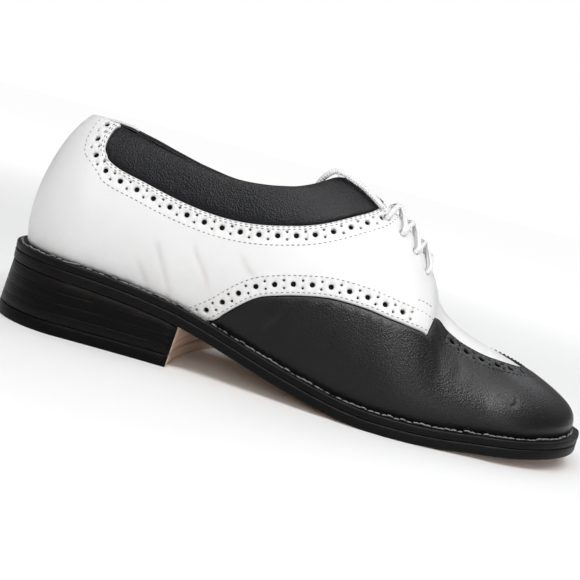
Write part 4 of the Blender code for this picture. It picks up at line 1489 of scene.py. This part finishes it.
    def build_wing(self) -> None:
        """Cut the wing tip with its punched top band and its folds."""
        start, end = self.top_span
        holes = self.punching.along(step_in(self.whole_top(), self.top_holes), lambda q, t: start < q < end)
        folds = [
            Crease([(4.80, 0.110), (4.862, 0.133), (5.021, 0.207)], 0.0013, 0.00022),
            Crease([(7.20, 0.560), (7.26, 0.480), (7.30, 0.380)], 0.0024, 0.00018),
            Crease([(7.45, 0.590), (7.52, 0.500), (7.50, 0.400)], 0.0022, 0.00020),
            Crease([(8.18, 0.380), (8.261, 0.408), (8.33, 0.430)], 0.0009, 0.00022),
            Crease([(8.42, 0.330), (8.516, 0.358), (8.547, 0.471)], 0.0009, 0.00020),
            Crease([(12.55, 0.600), (12.60, 0.500), (12.58, 0.400)], 0.0016, 0.00026),
            Crease([(12.80, 0.560), (12.76, 0.470), (12.70, 0.380)], 0.0016, 0.00030),
        ]
        panel = LeatherPanel("wing_tip_panel", self.wing_border(), "black", self.wing_thickness,
                             ("wing_tip",), holes=holes, creases=folds, roll=0.0006)
        panel.build()

    def build_shell(self) -> None:
        """Hollow shell behind the panels: dark outside, as painted shade in the seams between panels and a
        dark backing under the holes, lined inside, with a rounded rim.
        """
        half = np.concatenate([np.linspace(0.0, HEEL_FAN, 34), np.linspace(HEEL_FAN, 6.9, 84)[1:],
                               [6.95, 7.0, 7.05, FOOT.vamp_point, 7.2, 7.32, 7.45],
                               np.linspace(7.55, TOE, 40)])
        stations = both_sides(half)
        shares = np.concatenate([np.linspace(0.0, 0.88, 17), [0.91, 0.94, 0.97, 1.0]])
        rim = FOOT.rim(stations)
        s = FOOT.plane(stations)[1]
        round_top = self.rim_round * np.clip((FOOT.vamp_point - s) / 0.15, 0.0, 1.0)
        corners = [FOOT.place(stations, (rim - round_top) * share, 0.0) for share in shares]
        corners += [FOOT.place(stations, rim, -self.wall * k) for k in (0.25, 0.75)]
        corners += [FOOT.place(stations, (rim - round_top) * share, -self.wall) for share in shares[::-1]]
        points = np.concatenate(corners)
        count, last = len(stations), len(shares) - 1
        faces, indices = [], []
        open_rim = s < FOOT.vamp_point - CLOSE
        black = (s > np.where(stations > TOE, self.far_black, COLLAR_EDGE[0][0])) & (s < self.slot_start)
        for row in range(len(corners)):
            after = (row + 1) % len(corners)
            for k in range(count - 1):
                at_rim = last <= row < last + 3
                if at_rim and not (open_rim[k] or open_rim[k + 1]):
                    continue
                faces.append((row * count + k, row * count + k + 1, after * count + k + 1, after * count + k))
                if at_rim:
                    indices.append(2 if black[k] else 3)
                else:
                    turned = last + 2 < row < last + 2 + self.turned_rows
                    band = 2 if black[k] else 3
                    indices.append(band if turned else int(last <= row < len(corners) - 1))
        add_piece("upper_shell", points, faces, ["backing", "lining", "grain", "white"], ("upper",),
                  indices, weld=CLOSE)

    def build_vamp(self) -> None:
        """White vamp between the facings and the wing tip."""
        lows = np.array(((6.93, 0.56), (7.06, 0.57), (7.20, 0.66), (7.45, 0.69)))
        half = np.concatenate([np.linspace(6.93, 7.1, 7), np.linspace(7.1, TOE_FAN, 30)[1:],
                               np.linspace(TOE_FAN, TOE, 34)[1:]])
        stations = both_sides(half)
        s = FOOT.plane(stations)[1]
        wing = np.interp(s, WING_TOP[:, 0], WING_TOP[:, 1]) - self.vamp_lap
        wing -= np.where(stations > TOE, self.dip(s), 0.0)
        low = np.where(s < 7.45, np.minimum(np.interp(s, lows[:, 0], lows[:, 1]), wing), wing)
        rim = FOOT.rim(stations)
        rows = np.linspace(0.0, 1.0, 22)
        q = np.repeat(stations[None], len(rows), 0).ravel()
        t = (low + (rim - low) * rows[:, None]).ravel()
        ripple = 0.00010 * np.sin(q * 9.0) * np.sin(t * 20.0)
        top = FOOT.place(q, t, 0.0004 + ripple)
        under = FOOT.place(q, t, 0.00005)
        faces = [face[::-1] for face in grid_faces(len(rows), len(stations))]
        crest = set(len(q) - len(stations) + np.flatnonzero(s >= FOOT.vamp_point - CLOSE))
        sheet = [face for face in close_sheet(faces, len(q))
                 if min(face) >= len(q) or max(face) < len(q) or not {v % len(q) for v in face} <= crest]
        add_piece("vamp_panel", np.concatenate([top, under]), sheet, ["white"], weld=CLOSE)

    def build_tongue(self) -> None:
        """Tongue under the facings, with a soft rolled border."""
        rows, columns = 56, 33
        stations = np.linspace(self.tongue_top, self.tongue_foot, rows)
        across = np.linspace(-1.0, 1.0, columns)
        s = np.repeat(stations, columns)
        w = np.tile(across, rows)
        corner = np.clip((s - self.tongue_top) / 0.28, 0.0, 1.0)
        width = (1.0 - self.tongue_edge) * (0.72 + 0.28 * np.sqrt(1.0 - (1.0 - corner) ** 2))
        q = np.where(w <= 0.0, s, ROUND - s)
        t = 1.0 - width * np.abs(w)
        edge = np.minimum((1.0 - np.abs(w)) * 8.0, np.minimum((s - self.tongue_top) * 28.0, 1.0))
        edge = np.sqrt(np.clip(1.0 - (1.0 - np.clip(edge, 0.0, 1.0)) ** 2, 0.0, 1.0))
        top = -(self.wall + self.tongue_gap)
        mid = top - self.tongue_thickness * 0.55
        puff = self.tongue_thickness * 0.45 * edge
        points = np.concatenate([FOOT.place(q, t, mid + self.tongue_thickness * 0.1 + puff),
                                 FOOT.place(q, t, mid - puff)])
        add_piece("tongue_panel", points, close_sheet(grid_faces(rows, columns), len(q)), ["white"],
                  ("tongue",), values={"rim": np.tile(1.0 - edge, 2) * 0.5}, weld=CLOSE)

    def build_stitches(self) -> None:
        """Stitch rows of both quarters and of the wing tip."""
        lift = self.layer_gap + self.quarter_thickness
        rows: list[StitchRow] = []
        for side in Side:
            rim = self.rim_on(side)

            def on_quarter(q: Array, t: Array) -> Array:
                """Which points of a row lie on the quarter."""
                s = side.turn(q)
                return (s > self.rows_start) & (t > self.edge_room) & (t < rim(s) - self.edge_room)

            for line, distances in ((COLLAR_LINE, self.collar_rows), (self.long_wing_edge(), self.wing_rows)):
                beside = [clip(parallel(side.line(line), distance), on_quarter) for distance in distances]
                rows += [StitchRow(row, lift) for row in beside]
            tack = side.line(np.array(((6.793, 0.573), (6.95, 0.620), (7.05, 0.652))))
            rows.append(StitchRow(tack, lift, length=0.0020))
            facing = np.linspace(5.98, 6.90, 60)
            edge = side.points(facing, rim(facing))[::side.step]
            rows.append(StitchRow(step_in(edge, self.facing_row), lift))
        # The quarter stitches carry painted shade: their thread is coloured grey for the shadowed stitch
        # line.
        add_stitches("quarter_stitches", rows, "thread")
        top = self.whole_top()
        lift = self.layer_gap + self.wing_thickness
        dark = [StitchRow(step_in(top, distance)[4:-4], lift) for distance in self.top_rows]
        add_stitches("wing_stitches", dark, "dark_thread")

    def build(self) -> None:
        """Build the whole upper."""
        self.build_shell()
        self.build_vamp()
        self.build_panels()
        self.build_tongue()
        self.build_stitches()


def rounded_edge(radius: float, height: float, steps: int = 3) -> list[tuple[float, float]]:
    """Inset and height of the points up a plate's rounded side, bottom first."""
    turn = np.linspace(0.0, math.pi / 2, steps + 1)
    low = [(radius * (1.0 - math.sin(a)), radius * (1.0 - math.cos(a))) for a in turn]
    return low + [(inset, height - rise) for inset, rise in reversed(low)]


@dataclass
class SolePlate:
    """A plate that follows the sole's outline, with rounded sides."""

    name: str
    node: str
    low: Callable[[Array], Array]
    thickness: float
    finishes: tuple[str, ...]
    radius: float = 0.0007
    across: int = 8
    stations: int = 190
    footprint: float | None = None

    def edge(self, q: Array, inset: float) -> tuple[Array, Array]:
        """Plan of the plate's side, moved inward by inset."""
        if self.footprint is None:
            return FOOT.sole_edge(q, inset)
        return FOOT.footprint(q, self.footprint - inset)

    def build(self) -> bpy.types.Object:
        """Build the plate and give its underside the second finish."""
        s = np.linspace(0.0, TOE, self.stations)
        profile = rounded_edge(self.radius, self.thickness)
        middle = FOOT.middle()
        share = np.linspace(0.0, 1.0, self.across + 1)
        loop: list[Array] = []
        rim: list[float] = []

        def add(x: Array, y: Array, rise: float, edge: float) -> None:
            """Add one point to every section."""
            loop.append(np.stack([x, y, self.low(x) + rise], -1) - middle)
            rim.append(edge)

        def add_face(shares: Array, rise: float) -> None:
            """Add the points across the plate's underside or upper side."""
            lateral, medial = (np.array(self.edge(q, profile[0][0])) for q in (s, ROUND - s))
            for k in shares:
                add(*(lateral + (medial - lateral) * k), rise, 0.0)

        def add_wall(q: Array, levels: Sequence[tuple[float, float]]) -> None:
            """Add the points up or down one side of the plate."""
            for inset, rise in levels:
                add(*self.edge(q, inset), rise, 1.0 if 0.0 < inset < self.radius * 0.7 else 0.2)

        add_face(share, 0.0)
        add_wall(ROUND - s, profile[1:-1])
        add_face(share[::-1], self.thickness)
        add_wall(s, profile[1:-1][::-1])
        points = np.stack(loop, 1).reshape(-1, 3)
        faces = grid_faces(self.stations, len(loop), True)
        under = self.across if len(self.finishes) > 1 else 0
        indices = [int(i % len(loop) < under) for i in range(len(faces))]
        return add_piece(self.name, points, faces, self.finishes, (self.node,), indices,
                         {"rim": np.tile(rim, self.stations)}, weld=2e-6)


@dataclass
class Heel:
    """The stacked heel and the top lift under it."""

    inset: float = 0.0004
    lift: float = 0.0060
    lean: float = 0.0022
    hollow: float = 0.0040
    breast_lateral: float = 0.314
    breast_medial: float = 0.362
    fan: int = 20
    straight: int = 9
    across: int = 10
    groove: float = 0.00010
    layers: int = 4

    def plan(self) -> tuple[Array, Array, Array, Array]:
        """Plan of the heel's top as a grid.

        Returns:
            x, y and the share from back to breast of each grid point, and the grid's border numbers.
        """
        k = np.linspace(0.0, 1.0, self.across + 1)
        breast = (self.breast_lateral + (self.breast_medial - self.breast_lateral) * k) * FOOT.length
        breast = breast - self.hollow * 4.0 * k * (1.0 - k)
        s = np.linspace(0.0, HEEL_FAN, self.fan)
        lateral = np.stack(FOOT.sole_edge(s, self.inset), -1)[:, None]
        medial = np.stack(FOOT.sole_edge(ROUND - s, self.inset), -1)[:, None]
        fan = lateral + (medial - lateral) * k[None, :, None]
        axis = FOOT.heel_axis * FOOT.length
        w = np.linspace(0.0, 1.0, self.straight + 1)[1:]
        x = axis + (breast[None] - axis) * w[:, None]
        fine = np.linspace(0.0, TOE, 401)
        y_lateral = np.interp(x, *FOOT.sole_edge(fine, self.inset))
        y_medial = np.interp(x, *FOOT.sole_edge(ROUND - fine, self.inset))
        y = y_lateral + (y_medial - y_lateral) * k[None]
        grid = np.concatenate([fan, np.stack([x, y], -1)])
        back = grid[0, 0, 0]
        share = (grid[..., 0] - back) / (breast[None] - back)
        rows, columns = grid.shape[:2]
        number = np.arange(rows * columns).reshape(rows, columns)
        border = np.concatenate([number[::-1, 0], number[1:, -1], number[-1, -2:0:-1]])
        return grid[..., 0].ravel(), grid[..., 1].ravel(), share.ravel(), border

    def build_block(self, name: str, node: str, low: Callable[[Array], Array],
                    high: Callable[[Array], Array], levels: Sequence[tuple[float, float]],
                    finishes: Sequence[str]) -> None:
        """Build a block of the heel between two heights.

        Args:
            name: The piece's name.
            node: The CAD node that it stands for.
            low: Height of its underside at x.
            high: Height of its upper side at x.
            levels: Height share and inset of each ring up its side.
            finishes: Finishes of the sides, the breast and the underside.
        """
        x, y, share, border = self.plan()
        full = float(FOOT.sole_bottom(np.array(0.0)))
        ring = np.stack([x[border], y[border]], -1)
        way = unit(np.roll(ring, -1, 0) - np.roll(ring, 1, 0))
        outward = np.stack([-way[:, 1], way[:, 0]], -1)
        middle = FOOT.middle()

        def lay(index: Array, level: float, inset: float) -> Array:
            """Points of the block at a height share."""
            z = low(x[index]) + (high(x[index]) - low(x[index])) * level
            drop = 1.0 - z / full
            shift = drop * (FOOT.heel_flare * (1 - share[index]) + self.lean * share[index]
                            + self.inset * (1 - share[index]))
            flat = np.stack([x[index] - shift, y[index]], -1)
            if len(index) == len(border):
                flat = flat - outward * inset
            return np.concatenate([flat, z[:, None]], -1) - middle

        everything = np.arange(len(x))
        rows = self.fan + self.straight
        columns = self.across + 1
        tops = [lay(everything, 1.0, 0.0), lay(everything, 0.0, 0.0)]
        for cap, level in zip(tops, (levels[-1], levels[0])):
            cap[border] = lay(border, level[0], level[1])
        points = [*tops]
        rim = [np.zeros(len(x)), np.zeros(len(x))]
        rings = [border + len(x)]
        total = 2 * len(x)
        for level, inset in levels[1:-1]:
            points.append(lay(border, level, inset))
            rim.append(np.full(len(border), 1.0 if level < 0.05 or level > 0.97 else 0.0))
            rings.append(np.arange(total, total + len(border)))
            total += len(border)
        rings.append(border)
        quads = grid_faces(rows, columns)
        faces = quads + [tuple(v + len(x) for v in quad[::-1]) for quad in quads]
        indices = [0] * len(quads) + [len(finishes) - 1] * len(quads)
        first_breast = rows + (rows - 1) - 1
        for lower, upper in zip(rings[:-1], rings[1:]):
            for k in range(len(border)):
                n = (k + 1) % len(border)
                faces.append((lower[k], lower[n], upper[n], upper[k]))
                indices.append(1 if k >= first_breast and len(finishes) > 2 else 0)
        add_piece(name, np.concatenate(points), faces, finishes, (node,), indices,
                  {"rim": np.concatenate(rim)}, weld=CLOSE)

    def build(self) -> None:
        """Build the stack and the top lift."""
        levels = [(0.0, 0.0004), (0.012, 0.0)]
        for k in range(1, self.layers):
            at = k / self.layers
            levels += [(at - 0.016, 0.0), (at, self.groove), (at + 0.016, 0.0)]
        levels += [(0.985, 0.0), (1.0, 0.0003)]
        self.build_block("heel_stack_block", "heel_stack", lambda x: np.full_like(x, self.lift + FOOT.gap),
                         lambda x: FOOT.sole_bottom(x) - FOOT.gap, levels, ("heel", "breast", "heel"))
        self.build_block("top_lift_block", "top_lift", lambda x: np.zeros_like(x),
                         lambda x: np.full_like(x, self.lift),
                         [(0.0, 0.0006), (0.05, 0.00015), (0.14, 0.0), (0.9, 0.0), (1.0, 0.0003)],
                         ("heel", "breast", "sole"))


@dataclass
class WeltSeam:
    """The worn stitches along the welt, all round the shoe."""

    first: float = 0.12
    inset: float = 0.0038
    heel_inset: float = 0.0020
    pitch: float = 0.0031
    length: float = 0.0033
    radius: float = 0.00042
    seed: int = 7

    def build(self) -> None:
        """Lay the stitches on the welt's upper face."""
        q = np.linspace(self.first, ROUND - self.first, 2400)
        inset = np.interp(np.minimum(q, ROUND - q), (3.2, 4.4), (self.heel_inset, self.inset))
        x, y = FOOT.sole_edge(q, inset)
        line = np.stack([x, y, FOOT.welt_top(x)], -1) - FOOT.middle()
        along = run(line)
        at = np.arange(self.pitch, along[-1] - self.pitch, self.pitch)
        centre = read_at(line, along, at)
        ahead = read_at(line, along, at + 0.0005)
        spread = np.random.default_rng(self.seed)
        tangent = unit(ahead - centre + spread.normal(0.0, 0.00005, centre.shape))
        up = np.tile(np.array([0.0, 0.0, 1.0]), (len(at), 1))
        centre = centre + spread.normal(0.0, 0.00024, centre.shape) + up * 0.00015
        points, faces, places = capsules(centre, tangent, up, unit(np.cross(tangent, up)), self.length,
                                         self.radius, 7, 0)
        piece = add_piece("welt_stitches", np.array(points), faces, ["welt_thread"])
        set_lay(piece, places)


@dataclass
class Sole:
    """Outsole, welt, insole, heel and welt seam."""

    insole_thickness: float = 0.0026
    insole_inset: float = 0.00255
    heel: Heel = field(default_factory=Heel)
    seam: WeltSeam = field(default_factory=WeltSeam)

    def build(self) -> None:
        """Build the whole sole."""
        SolePlate("outsole_plate", "outsole", FOOT.sole_bottom, FOOT.outsole, ("sole", "bottom")).build()
        SolePlate("welt_plate", "welt", FOOT.welt_bottom, FOOT.welt, ("sole",), radius=0.0006).build()
        SolePlate("insole_plate", "insole", FOOT.seat, self.insole_thickness, ("lining",),
                  radius=0.0008, footprint=-self.insole_inset).build()
        self.heel.build()
        self.seam.build()


@dataclass
class Laces:
    """The lace: its crossings through the eyelets, its free end and the tip on it."""

    diameter: float = 0.0028
    lift: float = 0.0038
    sides: int = 12
    tip_length: float = 0.014
    crossings: tuple[tuple[int, int], ...] = ((3, 3), (3, 2), (2, 3), (2, 1), (1, 2), (1, 0), (0, 1))

    def tube(self, path: Array, radius: float, start: int = 0) -> tuple[Array, list, list]:
        """A round tube with domed ends along a path.

        Args:
            path: Points of the middle, close together.
            radius: The tube's radius.
            start: Number of its first corner.

        Returns:
            Corners, faces, and each corner's place along and around the tube.
        """
        way = unit(np.gradient(path, axis=0))
        side = unit(np.cross(way[0], np.array([0.0, 0.0, 1.0])))
        along = run(path)
        sizes = np.ones(len(path))
        for k, size in enumerate((0.35, 0.75, 0.95)):
            sizes[k] = size
            sizes[-1 - k] = size
        points, places = [], []
        for i, p in enumerate(path):
            side = unit(side - way[i] * float(side @ way[i]))
            out = np.cross(way[i], side)
            for k in range(self.sides):
                turn = math.tau * k / self.sides
                points.append(p + radius * sizes[i] * (math.cos(turn) * side + math.sin(turn) * out))
                places.append((along[i], k / self.sides))
        return np.array(points), rod_faces(len(path), self.sides, start), places

    def fair(self, path: Array, spacing: float, passes: int = 0) -> Array:
        """A path with even spacing, its corners softened by averaging."""
        for _ in range(2):
            along = run(path)
            path = read_at(path, along, np.linspace(0.0, along[-1], max(int(along[-1] / spacing), 6)))
            for _ in range(passes):
                path[1:-1] = (path[:-2] + 2 * path[1:-1] + path[2:]) / 4
        return path

    def crossing(self, row_from: int, row_to: int) -> Array:
        """Path of the lace from a lateral eyelet up over the tongue into a medial one."""
        share = np.linspace(0.0, 1.0, 41)
        s = EYELETS[row_from] + (EYELETS[row_to] - EYELETS[row_from]) * share
        t = 1.0 - (1.0 - EYELET_HEIGHT) * np.abs(2.0 * share - 1.0)
        q = np.where(share <= 0.5, s, ROUND - s)
        over = FOOT.place(q, t, self.lift)
        lows = np.array([-0.0004, 0.0012, 0.0028])
        first, last = (FOOT.place(np.full(3, end), np.full(3, EYELET_HEIGHT - 0.003), lows)
                       for end in (s[0], ROUND - s[-1]))
        return self.fair(np.concatenate([first, over[1:-1], last[::-1]]), 0.0007, 5)

    def end_path(self) -> Array:
        """Path of the free end over the collar and down inside the shoe."""
        order = np.linspace(0.0, len(LACE_END_PATH) - 1.0, 81)
        s, t, lift = curve(LACE_END_PATH, np.arange(len(LACE_END_PATH)), order).T
        return FOOT.place(s, t, lift * self.lift)

    def build(self) -> None:
        """Build the crossings, the free end and its tip."""
        points, faces, places = [], [], []
        for pair in self.crossings:
            more = self.tube(self.crossing(*pair), self.diameter / 2, sum(len(p) for p in points))
            points.append(more[0])
            faces += more[1]
            places += more[2]
        piece = add_piece("lace_through_eyelets", np.concatenate(points), faces, ["lace"],
                          ("lace_crossings",))
        set_lay(piece, places)
        path = self.end_path()
        corners, faces, places = self.tube(path, self.diameter / 2)
        end = add_piece("lace_free_end", corners, faces, ["lace"], ("lace_end",))
        set_lay(end, places)
        step = np.linalg.norm(np.diff(path, axis=0), axis=1)
        reverse = np.cumsum(step[::-1])
        count = int(np.searchsorted(reverse, self.tip_length))
        tip = add_piece("lace_tip", *self.tube(path[-count:], self.diameter / 2 + 0.00015)[:2], ["tip"])
        tuple(map(float, path[0]))
        LOG.info("free lace end: %.1f mm", 1000.0 * step.sum())


@dataclass
class PhotoCamera:
    """The camera at the photograph's place, in millimetres from the heel's back."""

    place: tuple[float, float, float] = (150.0, -460.0, 113.0)
    yaw: float = 1.3
    pitch: float = -8.2
    roll: float = 15.4
    focal_pixels: float = 915.0
    frame_pixels: float = 580.0
    sensor: float = 36.0

    def build(self) -> None:
        """Add the camera and make it the scene's own."""
        yaw, pitch, roll = (math.radians(a) for a in (self.yaw, self.pitch, self.roll))
        ahead = Vector((-math.sin(yaw) * math.cos(pitch), math.cos(yaw) * math.cos(pitch), math.sin(pitch)))
        level = Vector((math.cos(yaw), math.sin(yaw), 0.0))
        up = level.cross(ahead)
        right = math.cos(roll) * level + math.sin(roll) * up
        top = -math.sin(roll) * level + math.cos(roll) * up
        lens = bpy.data.cameras.new("photo_camera")
        lens.sensor_width = self.sensor
        lens.lens = self.sensor * self.focal_pixels / self.frame_pixels
        lens.clip_start = 0.01
        lens.clip_end = 100.0
        camera = new_object("photo_camera", lens)
        turn = Matrix((right, top, -ahead)).transposed().to_4x4()
        at = Vector(self.place) / 1000.0 - Vector(FOOT.middle())
        camera.matrix_world = Matrix.Translation(at) @ turn
        bpy.context.scene.camera = camera


@dataclass
class SoftLight:
    """A large soft lamp: name, place, target, width, height and power."""

    name: str
    place: tuple[float, float, float]
    target: tuple[float, float, float]
    size: tuple[float, float]
    power: float
    colour: tuple[float, float, float] = (1.0, 1.0, 1.0)
    gloss_only: bool = False

    def build(self) -> None:
        """Add the lamp, turned to its target."""
        lamp = bpy.data.lights.new(self.name, "AREA")
        lamp.shape = "RECTANGLE"
        lamp.size, lamp.size_y = self.size
        lamp.energy = self.power
        lamp.color = self.colour
        made = new_object(self.name, lamp)
        made.location = self.place
        made.visible_diffuse = not self.gloss_only
        way = Vector(self.target) - Vector(self.place)
        made.rotation_euler = way.to_track_quat("-Z", "Y").to_euler()


@dataclass
class Studio:
    """Pale floor, white surroundings and soft lamps."""

    floor_radius: float = 14.0
    floor_dark: Colour = (0.90, 0.90, 0.90, 1.0)
    floor_pale: Colour = (0.92, 0.92, 0.92, 1.0)
    floor_glow: float = 0.56
    sky_low: float = 0.12
    sky_high: float = 0.52
    lamps: tuple[SoftLight, ...] = (
        SoftLight("top_lamp", (0.05, -0.36, 0.80), (0.02, 0.0, 0.05), (1.2, 0.14), 4.6),
        SoftLight("collar_lamp", (0.22, -0.72, 0.80), (0.0, 0.0, 0.08), (0.4, 0.22), 8.0, gloss_only=True),
        SoftLight("wing_lamp", (0.20, -0.20, 0.80), (0.07, 0.0, 0.05), (1.1, 0.36), 4.8, gloss_only=True),
        SoftLight("front_lamp", (-0.35, -1.3, 0.75), (0.0, 0.0, 0.05), (0.9, 0.6), 2.1),
        SoftLight("breast_lamp", (0.25, -0.50, 0.12), (-0.05, 0.0, 0.01), (0.3, 0.12), 0.5),
        SoftLight("back_lamp", (0.5, 0.9, 0.9), (0.0, 0.0, 0.05), (1.0, 0.3), 3.0, (0.95, 0.97, 1.0)),
    )

    def build_floor(self) -> None:
        """Lay the floor."""
        work = bmesh.new()
        bmesh.ops.create_circle(work, cap_ends=True, radius=self.floor_radius, segments=96)
        mesh = bpy.data.meshes.new("studio_floor")
        work.to_mesh(mesh)
        work.free()
        finish = bpy.data.materials.new("floor_finish")
        finish.use_nodes = True
        shader = finish.node_tree.nodes["Principled BSDF"]
        nodes = Nodes(finish.node_tree)
        position = nodes.add("TexCoord").outputs["Object"]
        tone = nodes.span(nodes.noise(position, 6.0, 2.0), 0.2, 0.8)
        nodes.put(shader.inputs["Base Color"], nodes.blend(tone, self.floor_dark, self.floor_pale))
        shader.inputs["Roughness"].default_value = 0.9
        shader.inputs["Specular IOR Level"].default_value = 0.1
        shader.inputs["Emission Strength"].default_value = self.floor_glow
        away = nodes.add("VectorMath", {0: position}, operation="LENGTH").outputs["Value"]
        far = nodes.span(away, 0.18, 1.3)
        glow = nodes.blend(far, (0.0, 0.0, 0.0, 1.0), (1.0, 1.0, 1.0, 1.0))
        nodes.put(shader.inputs["Emission Color"], glow)
        mesh.materials.append(finish)
        new_object("studio_floor", mesh)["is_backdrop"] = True

    def build_world(self) -> None:
        """White surroundings that light the shoe mostly from above."""
        world = bpy.data.worlds.new("studio_world")
        world.use_nodes = True
        nodes = Nodes(world.node_tree)
        seen = nodes.add("LightPath").outputs["Is Camera Ray"]
        height = nodes.height(nodes.add("TexCoord").outputs["Generated"])
        sky = nodes.span(height, 0.08, 0.60, self.sky_low, self.sky_high)
        background = world.node_tree.nodes["Background"]
        nodes.put(background.inputs["Strength"], nodes.math("MAXIMUM", sky, seen))
        background.inputs["Color"].default_value = (1.0, 1.0, 1.0, 1.0)
        bpy.context.scene.world = world

    def build(self) -> None:
        """Build the studio."""
        self.build_floor()
        self.build_world()
        for lamp in self.lamps:
            lamp.build()
        bpy.context.scene.view_settings.view_transform = "Standard"
        bpy.context.scene.view_settings.look = "None"


def main() -> None:
    """Build the camera, the lace, the upper, the sole and the studio."""
    logging.basicConfig(level=logging.INFO, format="%(name)s %(message)s")
    FINISHES.make_all(EffectLibrary())
    PhotoCamera().build()
    Laces().build()
    Upper().build()
    Sole().build()
    Studio().build()
    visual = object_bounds()
    {"cad": plain(CAD_BOX), "visual": plain(visual)}


def plain(box: Any) -> Any:
    """A box as plain lists of numbers."""
    if hasattr(box, "__len__"):
        return [plain(part) for part in box]
    return float(box)


if __name__ == "__main__":
    main()
